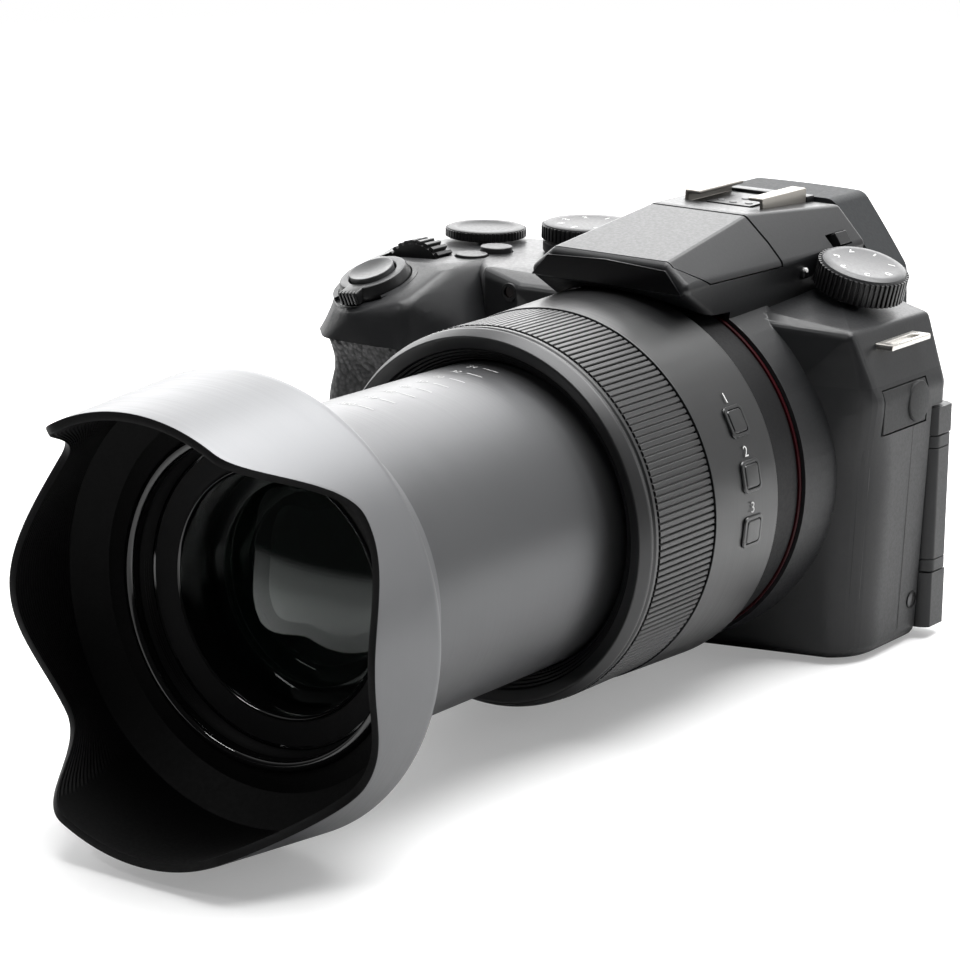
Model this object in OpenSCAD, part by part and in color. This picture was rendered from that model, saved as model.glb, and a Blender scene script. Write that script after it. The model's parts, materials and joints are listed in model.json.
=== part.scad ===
// Bridge camera with its zoom lens run out and a petal hood fitted.
// Frame: +X right seen from the front, +Y to the rear, +Z up, lens towards -Y.
// Origin: mouth of the tripod socket, on the base, below the lens axis.

/* [Body] */
// Gap from the base up to the neck of the lens
neck_gap = 2.1; // [1.6:0.1:5]
// Neck of the lens to the right side of the body
side_step = 9.8; // [8:0.2:15]
// Neck of the lens to the inner side of the grip
grip_gap = 19; // [17:0.5:24]
// Width of the grip
grip_w = 28; // [26:0.5:34]
// Lens axis to the top deck on the grip side
deck_rise = 37.2; // [35:0.2:42]
// Height of the top cover's side at the grip
cap_h = 16.3; // [14:0.1:19]
// Socket to the front of the base
face_y = 22.5; // [21:0.5:25]
// Socket to the front edge of the right shoulder
shoulder_y = 15; // [12:0.5:18]
// Socket to the back of the rear cover
back_y = 21; // [19:0.5:25]
// Height of the parting line above the base plate
base_t = 2.6; // [2:0.1:4]
// Socket to the parting line between front and rear covers
split_y = 5; // [2:0.5:9]
// Wall of the moulded covers
wall = 1.8; // [1.4:0.1:2.2]
// Rounding of the covers' edges
edge_r = 4; // [3:0.5:5]

/* [Grip] */
// Socket to the front of the grip
grip_front = 45; // [42:0.5:50]
// Thickness of the grip's rubber skin
skin_t = 1.2; // [0.8:0.1:1.6]
// How far the top cover overhangs the rubber skin
cap_over = 1; // [0:0.1:2]
// Forward tilt of the shutter platform
platform_tilt = 20; // [14:1:24]
// Outward tilt of the shutter platform
platform_roll = 8; // [4:1:12]

/* [Hump] */
// Foot of the hump's front plate to the top of the hot shoe
shoe_rise = 14.4; // [13.6:0.1:17]
// Height of the hump's front plate
plate_h = 7.6; // [6.6:0.1:9]
// Socket to the front of the hump
hump_front = 44.4; // [43:0.2:48]
// Half width of the hump's front plate at its top
plate_top = 15.8; // [14:0.2:18]
// Half width of the hump's front plate at its foot
plate_foot = 20; // [18.5:0.2:23]
// Socket to the back of the hump
hump_back = 25; // [24:0.5:28]
// Rounding of the hump's edges
hump_r = 2; // [1.7:0.1:2.6]
// Wall of the hump
hump_wall = 1.5; // [1.2:0.1:1.6]

/* [Lens] */
// Radius of the sliding zoom tube
tube_r = 32.8; // [29:0.1:36]
// Step from the zoom tube out to the neck
neck_step = 6.2; // [5.4:0.1:8]
// Step from the neck out to the rear of the fixed barrel
barrel_step = 2.3; // [1.8:0.1:3.4]
// Step from the barrel in to the ribs of the control ring
ring_step = 1.1; // [0.7:0.1:1.4]
// Socket to the plane where the neck leaves the body
neck_y = 26.5; // [25:0.5:29]
// Socket to the rear of the fixed barrel
barrel_y = 39; // [37:0.5:41]
// Length of the smooth part of the barrel
barrel_len = 23.9; // [20:0.1:28]
// Length of the control ring with its end gaps
ring_len = 21.1; // [16:0.1:26]
// Number of ribs round the control ring
ring_ribs = 180; // [80:10:220]
// Length of the front bezel
bezel_len = 5.1; // [4:0.1:7]
// How far the zoom tube stands out of the bezel
tube_out = 70.9; // [66:0.1:76]
// Step from the zoom tube in to the filter thread
filter_step = 1.8; // [1.4:0.1:3]
// Length of the filter thread
filter_len = 4.5; // [3:0.1:6]
// Width of the black rim between the filter thread and the front glass
rim_w = 7; // [5:0.5:11]

/* [Hood] */
// Step from the zoom tube out to the hood's sharp rear edge
hood_step = 12.8; // [11:0.2:16]
// Wall of the hood
hood_wall = 1.8; // [1.4:0.1:2.4]
// Front of the lens to the hood's rear edge
hood_set = 5.2; // [4:0.2:8]
// Rear edge to the tips of the top and bottom petals
petal_long = 32; // [26:0.5:38]
// Rear edge to the tips of the side petals
petal_side = 18; // [14:0.5:22]
// Rear edge to the valleys between petals
petal_valley = 11; // [8:0.5:13]
// Radius lost by the hood for each millimetre of its length
hood_taper = 0.08; // [0:0.01:0.1]

/* [Controls] */
// Radius of the rear dial
rear_dial_r = 9.6; // [8:0.1:10]
// Radius of the mode dial
mode_dial_r = 11.4; // [10:0.1:11.6]
// Radius of the drive dial
drive_dial_r = 10.2; // [8.5:0.1:10.4]
// Height of the drive dial
drive_dial_h = 6.8; // [6:0.1:9]
// Radius of the shutter button
shutter_r = 5.3; // [4.5:0.1:6]
// Radius of the zoom lever ring
lever_r = 8.6; // [8:0.1:9.2]
// Radius of the front dial
front_dial_r = 9.4; // [8:0.1:9.6]
// Radius of the two top buttons
top_button_r = 3.7; // [2.5:0.1:4]
// Side of the square lens buttons
lens_button = 5; // [4:0.1:5.4]
// Radius of the round rear buttons
rear_button_r = 2.9; // [2.4:0.1:3.4]
// Radius of the cursor pad
cursor_r = 10; // [8:0.1:11]

/* [Screen] */
// Socket to the floor of the screen's recess
recess_y = 13; // [11.5:0.5:15]
// Thickness of the swing-out screen
screen_t = 9.2; // [8:0.1:9.6]
// Width of the screen from its hinge axis
screen_w = 74; // [66:0.5:76]
// Height of the screen
screen_h = 50.6; // [46:0.2:51]

/* [Clearances] */
// Gap round pieces that move in a cover
move_gap = 0.3; // [0.25:0.05:0.45]
// Running clearance of shafts in their bores
shaft_gap = 0.06; // [0.02:0.01:0.1]

/* [Hidden] */
$fn = 96;
ball_fn = 20;
eps = 0.01;
big = 300;

// Lens radii, from the tube outwards and inwards
tube_wall = 1.6;
guide_wall = 1.9;
barrel_wall = 2.5;
guide_in = tube_r + move_gap;
guide_out = guide_in + guide_wall;
neck_r = tube_r + neck_step;
barrel_r = neck_r + barrel_step;
ring_r = barrel_r - ring_step;
sleeve_r = ring_r - 2.5;
filter_r = tube_r - filter_step;
glass_r = filter_r - rim_w;
hood_r = tube_r + hood_step;

// Planes and heights that several pieces share
axis_h = neck_r + neck_gap;
body_right = neck_r + side_step;
core_left = neck_r + grip_gap;
grip_left = core_left + grip_w;
deck_h = axis_h + deck_rise;
seam_z = deck_h - cap_h;
shoulder_h = deck_h - 1.3;
barrel_end = barrel_y + barrel_len;
ring_end = barrel_end + ring_len;
bezel_end = ring_end + bezel_len;
lens_end = bezel_end + tube_out;
tube_back = ring_end - 12;
neck_back = face_y - 7.5;
hood_y = lens_end + hood_set;
hump_foot = axis_h + barrel_r + 0.4;
hump_top = hump_foot + plate_h;
shoe_z = hump_foot + shoe_rise;
hump_crest = shoe_z - 1.8;
shoe_h = 3.6;
seat_z = shoe_z - shoe_h;
pan_t = 1.6;
recess_top = base_t + screen_h + 0.6;
bulge = 2.2;
crisp_r = max(wall, hump_wall) + 0.2;

module on_axis() { translate([0, 0, axis_h]) rotate([90, 0, 0]) children(); }

module ring(r_out, r_in, from, to) {
  on_axis() translate([0, 0, from]) difference() {
    cylinder(r = r_out, h = to - from);
    translate([0, 0, -1]) cylinder(r = r_in, h = to - from + 2);
  }
}

// Rounded corners, each a centre and a radius
module balls(points, inset) {
  hull() for (p = points) translate([p[0], p[1], p[2]]) sphere(r = p[3] - inset, $fn = ball_fn);
}

module box(low, high) { translate(low) cube(high - low); }

// A dial with an axial knurl on its rim, standing on z = 0
module knurled(r, h, teeth, depth) {
  linear_extrude(h) polygon([for (i = [0 : 4 * teeth - 1])
    (r - (i % 4 < 2 ? 0 : depth)) * [cos(90 * i / teeth), sin(90 * i / teeth)]]);
}

// Outer forms of the body. A positive inset gives the hollow inside a wall of that thickness
function corner(x, y, z, r) = [x - sign(x) * r, y - sign(y) * r, z, r];

flat_x = [-neck_r + 5, neck_r - 25];
brow_at = [-neck_r + 1, -face_y - 3.5];

function core_points() = let (r = edge_r, low = edge_r, foot = body_right - bulge, k = crisp_r) [
  corner(foot, -shoulder_y + 1, low, r), corner(foot, back_y, low, r),
  corner(flat_x[1], -face_y, low, r), corner(flat_x[0], -face_y, low, r), corner(-core_left, back_y, low, r),
  corner(body_right, -shoulder_y + 1, seam_z - 4, r), corner(body_right, back_y, seam_z - 4, r),
  corner(flat_x[1], -face_y - 1.5, axis_h, r), corner(flat_x[0], -face_y - 1.5, axis_h, r),
  corner(body_right - 5.2, -shoulder_y, shoulder_h - 2.8 - k, k),
  corner(body_right - 5.2, back_y, shoulder_h - 3.4 - k, k),
  corner(plate_foot, -shoulder_y - 1, shoulder_h - 0.6 - k, k),
  corner(plate_foot, back_y, shoulder_h + 2.6 - k, k),
  corner(brow_at[0], brow_at[1], deck_h - 1.6 - k, k), corner(-core_left + 8, -face_y, deck_h - k, k),
  corner(-core_left, -11, deck_h - k, k), corner(-core_left, back_y, deck_h - k, k)
];

module core(inset) { balls(core_points(), inset); }

function grip_low_points() = let (r = edge_r, low = edge_r, side = grip_left - skin_t) [
  for (z = [[low, 2.2], [seam_z + 2, 0]]) each [
    corner(-side + z[1], -grip_front + 13, z[0], r),
    corner(-side + z[1] + 7.5, -grip_front + skin_t + z[1], z[0], r),
    corner(-core_left - 4, -grip_front + skin_t + z[1], z[0], r),
    corner(-core_left + 6, -face_y, z[0], r),
    corner(-side + z[1], back_y, z[0], r),
    corner(-core_left + 6, back_y, z[0], r)]
];

module grip_low(inset) { balls(grip_low_points(), inset); }

// The tilted platform under the shutter button
platform_at = [-grip_left + 15.4, -grip_front + 12.6, deck_h - 5.4];

module on_platform() {
  translate(platform_at) rotate([platform_tilt, -platform_roll, 0]) children();
}

function grip_top_points() = let (r = edge_r, side = grip_left + cap_over, k = crisp_r, low = seam_z - 3) [
  corner(-side, -grip_front + 11, low, r), corner(-side + 2.5, -grip_front + 5, low, r),
  corner(-side + 7, -grip_front, low, r), corner(-core_left - 3, -grip_front, low, r),
  corner(-core_left + 8, -face_y - 1, low, r), corner(-side + 1, back_y, low, r),
  corner(-core_left + 8, back_y, low, r),
  corner(-side + 3, -grip_front + 29, deck_h - 0.6 - r, r),
  corner(-side + 3.6, -grip_front + 18, deck_h - 1.6 - r, r),
  corner(-side + 4.6, -grip_front + 11, deck_h - 4.3 - r, r),
  corner(-side + 8, -grip_front + 3.6, deck_h - 9 - r, r),
  corner(-side + 15, -grip_front, deck_h - 9.8 - k, k),
  corner(-core_left - 0.6, -grip_front + 2.6, deck_h - 5.6 - k, k),
  corner(-core_left, -grip_front + 12, deck_h - 2.2 - k, k),
  corner(-core_left, -grip_front + 18.6, deck_h - k, k),
  corner(-side + 3.5, back_y - 1, deck_h - 0.6 - r, r), corner(-core_left + 4, back_y, deck_h - k, k)
];

module grip_top(inset) { balls(grip_top_points(), inset); }

function hump_points() = let (r = hump_r) [for (s = [-1, 1]) each [
  corner(s * plate_foot, -hump_front, hump_foot + r, r), corner(s * plate_top, -hump_front, hump_top - r, r),
  corner(s * 13.4, -9, hump_crest - r, r), corner(s * 18, hump_back, shoe_z - 3.4 - r, r),
  corner(s * 24, hump_back, shoe_z - 11.7, r), corner(s * 20.5, hump_back, hump_foot - 11.8, r),
  corner(s * 19.5, -face_y, hump_foot - 11.8, r)]];

module hump(inset) { balls(hump_points(), inset); }

module boss() {
  on_axis() translate([0, 0, neck_y - 14]) cylinder(r1 = neck_r + 2.4, r2 = neck_r + 1.2, h = 14);
}

module front_throat() { on_axis() translate([0, 0, 6]) cylinder(r = neck_r, h = big); }

// Slabs that part the covers
module below_seam() { box([-big, -big, base_t], [big, big, seam_z]); }
module above_seam() { box([-big, -big, seam_z], [big, big, big]); }
module below_base() { box([-big, -big, -big], [big, big, base_t]); }
module ahead() { box([-big, -big, -big], [big, split_y, big]); }
module behind() { box([-big, split_y, -big], [big, big, big]); }

// Doors cut out of the covers; grow is the gap round the opening
mic_y = [-shoulder_y + 6.5, 10.5];
mic_z = [seam_z - 10.8, seam_z - 1.2];

module mic_zone(grow) {
  box([body_right - 6, mic_y[0] - grow, mic_z[0] - grow], [big, mic_y[1] + grow, mic_z[1] + grow]);
}

port_y = [split_y + 1.5, back_y - edge_r - 0.5];
port_z = [14, 44];

module port_zone(grow) {
  box([-big, port_y[0] - grow, port_z[0] - grow], [-grip_left + 8, port_y[1] + grow, port_z[1] + grow]);
}

door_x = [-grip_left + 7, -core_left + 2];
door_y = [-grip_front + 12, back_y - 14];

module battery_zone(grow) {
  box([door_x[0] - grow, door_y[0] - grow, -big], [door_x[1] + grow, door_y[1] + grow, big]);
}

// The screen's recess, open on the right side
screen_z = [base_t, base_t + screen_h];
screen_y = recess_y + 0.4;
hinge_at = [body_right - screen_t / 2 + 1.7, screen_y + screen_t / 2];
screen_left = hinge_at[0] - screen_w;
recess_x = screen_left - 0.6;

module recess() { box([recess_x, recess_y, -big], [big, big, recess_top]); }

knuckle_z = [base_t + 13, base_t + screen_h - 6.6];
knuckle_h = 2.6;
hinge_r = screen_t / 2 - 0.3;
hinge_pin_r = 1.5;

module hinge_rod(r, from, to) {
  translate([hinge_at[0], hinge_at[1], from]) cylinder(r = r, h = to - from);
}

module knuckles() {
  difference() {
    for (z = [knuckle_z[0], knuckle_z[1] - knuckle_h]) {
      hinge_rod(hinge_r, z, z + knuckle_h);
      box([hinge_at[0] - hinge_r, recess_y - eps, z], [hinge_at[0], hinge_at[1], z + knuckle_h]);
    }
    hinge_rod(hinge_pin_r + shaft_gap, knuckle_z[0] - 1, knuckle_z[1] + 1);
  }
}

// Rear buttons: place on the rear cover as [x, z]
cursor_at = [-core_left + 4, seam_z - 28];
play_at = [-core_left + 19, seam_z - 10];
lock_at = [-core_left + 9, seam_z - 7];
menu_at = [-core_left + 18, seam_z - 44];

module rear_peg(at, r, from, to) {
  translate([at[0], to, at[1]]) rotate([90, 0, 0]) cylinder(r = r, h = to - from);
}

module rear_holes() {
  rear_peg(cursor_at, cursor_r + move_gap, back_y - 1.4, big);
  rear_peg(cursor_at, 3 + move_gap, 0, big);
  for (at = [play_at, lock_at, menu_at]) rear_peg(at, rear_button_r + move_gap, back_y - 8, big);
}

// Screws that hold the base plate, and the tripod socket's place in it
base_screws = [[body_right - 11, -4], [body_right - 11, back_y - 14], [-neck_r + 9, -8],
  [-core_left + 14, back_y - 12]];
screw_r = 1.7;
screw_shank = 0.9;
socket_r = 6;

module front_cover() {
  color("#26272a") difference() {
    union() {
      intersection() {
        difference() {
          union() {
            core(0);
            grip_low(0);
          }
          core(wall);
          grip_low(wall);
        }
        below_seam();
        ahead();
      }
      difference() {
        intersection() {
          boss();
          box([-big, -big, 0.3], [big, big, seam_z]);
        }
        intersection() {
          core(0);
          below_base();
        }
      }
    }
    front_throat();
    mic_zone(move_gap);
  }
}

module rear_cover() {
  color("#26272a") difference() {
    union() {
      intersection() {
        union() {
          difference() {
            union() {
              core(0);
              grip_low(0);
            }
            core(wall);
            grip_low(wall);
          }
          box([recess_x - pan_t, recess_y - pan_t, base_t],
            [body_right - edge_r, recess_y, recess_top + pan_t]);
          box([recess_x - pan_t, recess_y, base_t], [recess_x, back_y - 1, recess_top + pan_t]);
          box([recess_x, recess_y, recess_top], [body_right - edge_r, back_y - 1, recess_top + pan_t]);
        }
        below_seam();
        behind();
      }
      knuckles();
    }
    difference() {
      recess();
      knuckles();
    }
    mic_zone(move_gap);
    port_zone(move_gap);
    rear_holes();
  }
}

module base_plate() {
  color("#222326") difference() {
    intersection() {
      difference() {
        union() {
          core(0);
          grip_low(0);
        }
        core(wall);
        grip_low(wall);
      }
      below_base();
    }
    battery_zone(move_gap);
    recess();
    translate([0, 0, -1]) cylinder(r = socket_r, h = 10);
    for (p = base_screws) translate([p[0], p[1], -1]) {
      cylinder(r = screw_shank, h = 10);
      cylinder(r = screw_r, h = 2);
    }
    front_throat();
  }
}

// Flash lid: front seam slants down the sides, then runs back level
lid_back = 9;
lid_seam = hump_foot + 2.4;
lid_gap_back = 0.7;

module lid_zone(grow) {
  back = -lid_back + (grow > 0 ? lid_gap_back : 0);
  rotate([90, 0, 90]) translate([0, 0, -big / 2]) linear_extrude(big) polygon([
    [-hump_front + 1.6 - grow, hump_top - 1.2], [-hump_front + 9.2 - grow, lid_seam - grow],
    [back, lid_seam - grow], [back, big], [-hump_front + 1.6 - grow, big]]);
}

// Places of the top controls
rear_dial_at = [-core_left - 11.3, back_y - 12.6];
mode_dial_at = [-core_left + 18, back_y - 12];
record_at = [-core_left + 0.9, back_y - 25.5];
function_at = [-core_left - 0.6, back_y - 33.2];
dial_clear = 1;
drive_at = [plate_foot + drive_dial_r + dial_clear, back_y - 12.6, shoulder_h + 0.4];
drive_tilt = [4, 15, 0];
front_dial_at = [-grip_left + 15.8, -grip_front + 27.5, deck_h - 6.4];
front_dial_t = 6;
dial_shaft_r = 2.4;
front_shaft_r = 1.3;
sleeve_out = shutter_r + 1.2;
seat_t = 2.4;
tab_out = 1.8;
button_rise = 0.5;
button_head = 1.4;

module on_drive() { translate(drive_at) rotate(drive_tilt) children(); }

module front_shaft(r, extra) {
  translate(front_dial_at + [0, front_dial_t / 2 + extra, 0]) rotate([90, 0, 0])
    cylinder(r = r, h = front_dial_t + 2 * extra);
}

ear_t = 1.6;
dial_lift = 0.9;

module front_dial_ears() {
  difference() {
    for (s = [-1, 1]) translate(front_dial_at + [0, s * (front_dial_t / 2 + move_gap + ear_t / 2 - 0.2), 0])
      translate([-3, -ear_t / 2 - 0.2, -3]) cube([6, ear_t + 0.4, deck_h - front_dial_at[2] + 1.6]);
    front_shaft(front_shaft_r + shaft_gap, 3);
  }
}

// Switch and wheel on the hump's sides
side_tilt = atan2(6, 9.2);
switch_at = [plate_foot + 1.4, hump_back - 8.6, shoe_z - 10];
switch_size = [2.4, 5, 3];
switch_travel = 2;
wheel_at = [-plate_foot - 7.2, hump_back - 5, hump_foot - 0.3];
wheel_r = 4;
wheel_t = 2.2;
wheel_shaft = 1.2;

module on_hump_side() { translate(switch_at) rotate([0, -side_tilt, 0]) children(); }

// Strap lugs pass through slots in the top cover's sides
lug_z = seam_z + 8;
lug_t = 1.2;
lug_y = [-6, 11];
lug_in = 3;
lug_out = 3;

module on_side(side) {
  translate([side > 0 ? body_right - 3.2 : -grip_left + 2.2, 0, lug_z]) rotate([0, 0, side > 0 ? 0 : 180])
    children();
}

module lug_plate(side) {
  on_side(side) difference() {
    box([-lug_in, lug_y[0], -lug_t / 2], [lug_out, lug_y[1], lug_t / 2]);
    box([0, lug_y[0] + 2.4, -lug_t], [lug_out - 1, lug_y[1] - 2.4, lug_t]);
  }
}

module lug_slots() {
  for (side = [-1, 1]) on_side(side) box([-lug_in, lug_y[0], -lug_t / 2], [big, lug_y[1], lug_t / 2]);
}

eye_w = 13;
eye_z = [hump_foot - 8.8, hump_foot + 5.2];
lamp_at = [brow_at[0] - 0.4, deck_h - 4];
lamp_r = 1.9;

module top_cover() {
  color("#2a2b2e") difference() {
    union() {
      difference() {
        union() {
          difference() {
            intersection() {
              union() {
                core(0);
                grip_top(0);
                boss();
              }
              above_seam();
            }
            box([-big, -big, deck_h], [-plate_foot - 3, big, big]);
          }
          hump(0);
        }
        core(wall);
        grip_top(wall);
        hump(hump_wall);
      }
      box([-10.8, 1, seat_z - 2], [10.8, hump_back - 2, seat_z]);
      box([-17.4, -hump_front + 3, lid_seam - 1.8], [17.4, -lid_back + 2, lid_seam - 0.6]);
      front_dial_ears();
      on_platform() translate([0, 0, -seat_t]) cylinder(r = lever_r + 1.6, h = seat_t + 1);
    }
    box([-10.4, 1.6, seat_z], [10.4, hump_back + 1, big]);
    lid_zone(move_gap);
    front_throat();
    on_axis() translate([0, 0, neck_y]) cylinder(r = barrel_r + 0.4, h = big);
    box([-eye_w, hump_back - 4, eye_z[0]], [eye_w, big, eye_z[1]]);
    // Slots and bores for the controls
    front_shaft(front_dial_r + move_gap, move_gap);
    on_platform() translate([0, 0, -20]) cylinder(r = sleeve_out + shaft_gap, h = 40);
    on_platform() cylinder(r = lever_r + move_gap, h = 20);
    on_platform() translate([0, 0, move_gap / 2]) linear_extrude(20) polygon(concat([[0, 0]],
      [for (a = [-132 : 6 : -48]) (lever_r + tab_out + move_gap) * [cos(a), sin(a)]]));
    translate([rear_dial_at[0], rear_dial_at[1], seam_z]) cylinder(r = dial_shaft_r + shaft_gap, h = 30);
    translate([mode_dial_at[0], mode_dial_at[1], seam_z])
      cylinder(r = dial_shaft_r + 1.2 + shaft_gap, h = 30);
    on_drive() translate([0, 0, -12]) cylinder(r = dial_shaft_r + shaft_gap, h = 20);
    on_drive() translate([0, 0, dial_lift - move_gap]) cylinder(r = drive_dial_r + move_gap, h = 20);
    for (p = [record_at, function_at]) translate([p[0], p[1], seam_z])
      cylinder(r = top_button_r + move_gap, h = 30);
    on_hump_side() box(
      [-3, -switch_size[1] / 2 - switch_travel - move_gap, -switch_size[2] / 2 - move_gap],
      [7, switch_size[1] / 2 + move_gap, switch_size[2] / 2 + move_gap]);
    translate(wheel_at) rotate([0, 90, 0]) cylinder(r = wheel_shaft + shaft_gap, h = 12);
    translate(wheel_at) rotate([0, -90, 0]) cylinder(r = wheel_r + 0.6, h = 6);
    rear_peg(lamp_at, lamp_r, -50, 0);
    lug_slots();
  }
}

module hump_plate() {
  color("#08080a") translate([0, -hump_front, 0]) rotate([90, 0, 0]) linear_extrude(0.8) polygon([
    [-plate_top + 0.8, hump_top - 1.6], [0, hump_top - 0.9], [plate_top - 0.8, hump_top - 1.6],
    [plate_foot - 0.9, hump_foot + 1.2], [-plate_foot + 0.9, hump_foot + 1.2]]);
}

module grip_skin() {
  color("#1b1b1c") difference() {
    intersection() {
      grip_low(-skin_t);
      box([-big, -big, base_t + 0.6], [-core_left + 6, split_y, seam_z]);
    }
    grip_low(0);
    core(0);
  }
}

thumb_x = [-grip_left + 6, -core_left - 4];
thumb_z = [seam_z - 20, seam_z - 1];

module thumb_rest() {
  color("#1b1b1c") intersection() {
    box([thumb_x[0], back_y, thumb_z[0]], [thumb_x[1], back_y + 2.6, thumb_z[1]]);
    translate([0, back_y - 37, (thumb_z[0] + thumb_z[1]) / 2]) rotate([0, 90, 0])
      cylinder(r = 39.6, h = 4 * grip_left, center = true);
  }
}

shoe_w = 10.2;
shoe_y = [2, 21];
shoe_floor = 0.8;
slot_z = seat_z + shoe_floor;
shoe_slot = 9.3;
shoe_slot_h = 2;
shoe_mouth = 6.3;

module hot_shoe() {
  color("#b9b6ad") difference() {
    box([-shoe_w, shoe_y[0], seat_z], [shoe_w, shoe_y[1], shoe_z]);
    box([-shoe_slot, shoe_y[0] - 1, slot_z], [shoe_slot, shoe_y[1] + 1, slot_z + shoe_slot_h]);
    box([-shoe_mouth, shoe_y[0] - 1, slot_z], [shoe_mouth, shoe_y[1] + 1, big]);
  }
}

module shoe_contacts() {
  color("#3a3a3c") {
    box([-5.6, shoe_y[0] + 2, slot_z], [5.6, shoe_y[1] - 3, slot_z + 0.4]);
    for (p = [[0, 9.5], [-3.6, 5], [3.6, 5], [0, 4.2]])
      translate([p[0], shoe_y[0] + p[1], slot_z]) cylinder(r = 0.9, h = 0.6);
  }
}

cup_y = [hump_back, hump_back + 15.5];
cup_top = shoe_z - 2.6;
cup_foot = hump_foot - 19.8;
cup_r = 4;
cup_curve = 90;

module cup_outline(y0, y1) {
  hull() for (p = [[17, cup_top], [28.6, hump_foot - 1], [29, hump_foot - 9], [22, cup_foot]], s = [-1, 1])
    translate([s * (p[0] - cup_r), y1, p[1] - cup_r]) rotate([90, 0, 0])
      cylinder(r = cup_r, h = y1 - y0, $fn = 32);
}

module eye_window(y0, y1, grow) {
  box([-eye_w - grow, y0, eye_z[0] - grow], [eye_w + grow, y1, eye_z[1] + grow]);
}

module eyecup() {
  color("#1d1d1f") difference() {
    intersection() {
      cup_outline(cup_y[0], cup_y[1]);
      translate([0, cup_y[1] - cup_curve, cup_foot - 10]) cylinder(r = cup_curve, h = 80);
    }
    eye_window(cup_y[0] - 1, cup_y[0] + 4, 0);
    eye_window(cup_y[0] + 3.9, big, 2);
    core(0);
    box([-big, -big, -big], [big, back_y + 0.2, hump_foot - 3]);
  }
}

module eyepiece_lens() {
  color("#8fa3a8") eye_window(hump_back - hump_wall - 0.5, hump_back + 1.2, 0);
}

module finder_unit() {
  color("#2f3032") box([-eye_w + 2, hump_back - 17, eye_z[0] + 1],
    [eye_w - 2, hump_back - hump_wall - 0.5, eye_z[1] - 1]);
}

module strap_lugs() {
  color("#c9c9c6") {
    lug_plate(1);
    lug_plate(-1);
  }
}

thread_r = 3.175;
seat_gap = 0.06;
thread_len = 6;

module tripod_socket() {
  color("#a9a9a6") difference() {
    union() {
      cylinder(r = socket_r, h = wall + 1);
      translate([0, 0, wall + seat_gap]) cylinder(r = socket_r + 2, h = thread_len + 1.5 - wall - seat_gap);
    }
    translate([0, 0, -1]) cylinder(r = thread_r, h = thread_len + 1);
  }
}

cell = [grip_w - 13, grip_front - 9, seam_z - 10];

module battery() {
  color("#303236") translate([door_x[0] + 2, door_y[0] + 2, wall + 0.3]) cube(cell);
}

plate_y = 6;
rear_cell_r = 20;
plate_t = 1.4;
board_y = plate_y + plate_t + 1.8;
post_r = 2.2;
posts = [for (x = [-core_left + 18, body_right - 10.8], z = [12, seam_z - 4]) [x, z]];

module chassis() {
  color("#8d9094") difference() {
    union() {
      box([-core_left + 14, plate_y, thread_len + 2], [body_right - 6.8, plate_y + plate_t, seam_z - 1]);
      for (p = posts) rear_peg(p, post_r, plate_y, recess_y - pan_t);
    }
    rear_peg([0, axis_h], rear_cell_r - 7, 0, 20);
  }
}

module image_sensor() {
  color("#20442f") {
    box([-18, plate_y + plate_t, axis_h - 15], [18, plate_y + plate_t + 1.2, axis_h + 15]);
    box([-8, plate_y - 1.4, axis_h - 6], [8, plate_y + plate_t, axis_h + 6]);
  }
}

module main_board() {
  color("#1f4d33") difference() {
    box([-core_left + 15, board_y, thread_len + 2], [body_right - 7.8, board_y + 1.4, seam_z - 2]);
    for (p = posts) rear_peg(p, post_r, 0, 30);
  }
}

module cover_screws() {
  color("#55565a") for (p = base_screws) translate([p[0], p[1], 0.3]) {
    cylinder(r = screw_r, h = 0.7);
    cylinder(r = screw_shank, h = 5);
  }
}

module focus_lamp() {
  color("#5a2018") rear_peg(lamp_at, lamp_r, -face_y - 3, -face_y + 2);
}

module neck_ring() {
  color("#141416") ring(neck_r, guide_out, neck_back, barrel_y);
}

module accent_ring() {
  color("#6d1318") ring(neck_r + 0.5, neck_r, neck_y + 0.4, neck_y + 1.4);
}

// Lens buttons: angle round the barrel, from the right side upwards
lens_button_angles = [28, 11.5, -5];
lens_button_y = barrel_y + 10.3;

module at_lens_button(i) {
  translate([0, -lens_button_y, axis_h]) rotate([0, -lens_button_angles[i], 0]) children();
}

module button_block(i, size, from, to) {
  at_lens_button(i) translate([from, -size / 2, -size / 2]) cube([to - from, size, size]);
}

module lens_barrel() {
  color("#2b2c2e") difference() {
    on_axis() rotate_extrude() polygon([
      [guide_out, barrel_y], [barrel_r - 0.6, barrel_y], [barrel_r, barrel_y + 0.8], [ring_r + 0.3, barrel_end],
      [sleeve_r, barrel_end], [sleeve_r, ring_end], [guide_out, ring_end],
      [guide_out, barrel_end - barrel_wall],
      [ring_r + 0.3 - barrel_wall, barrel_end - barrel_wall], [barrel_r - barrel_wall, barrel_y + barrel_wall],
      [guide_out, barrel_y + barrel_wall]]);
    for (i = [0 : 2]) button_block(i, lens_button + 2 * move_gap, barrel_r - barrel_wall - 2, barrel_r + 4);
  }
}

module barrel_bezel() {
  color("#3a3b3d") on_axis() rotate_extrude() polygon([
    [guide_in + 0.3, ring_end], [ring_r - 0.2, ring_end], [ring_r - 0.8, bezel_end], [ring_r - 1.6, bezel_end],
    [ring_r - 2.2, bezel_end - 1], [ring_r - 3.8, bezel_end - 1], [ring_r - 3.8, bezel_end - 2.2],
    [ring_r - 5.4, bezel_end - 2.2], [ring_r - 5.4, bezel_end - 3.4], [guide_in + 0.3, bezel_end - 3.4]]);
}

module guide_tube() {
  color("#18181a") ring(guide_out, guide_in, neck_back, ring_end);
}

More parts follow.
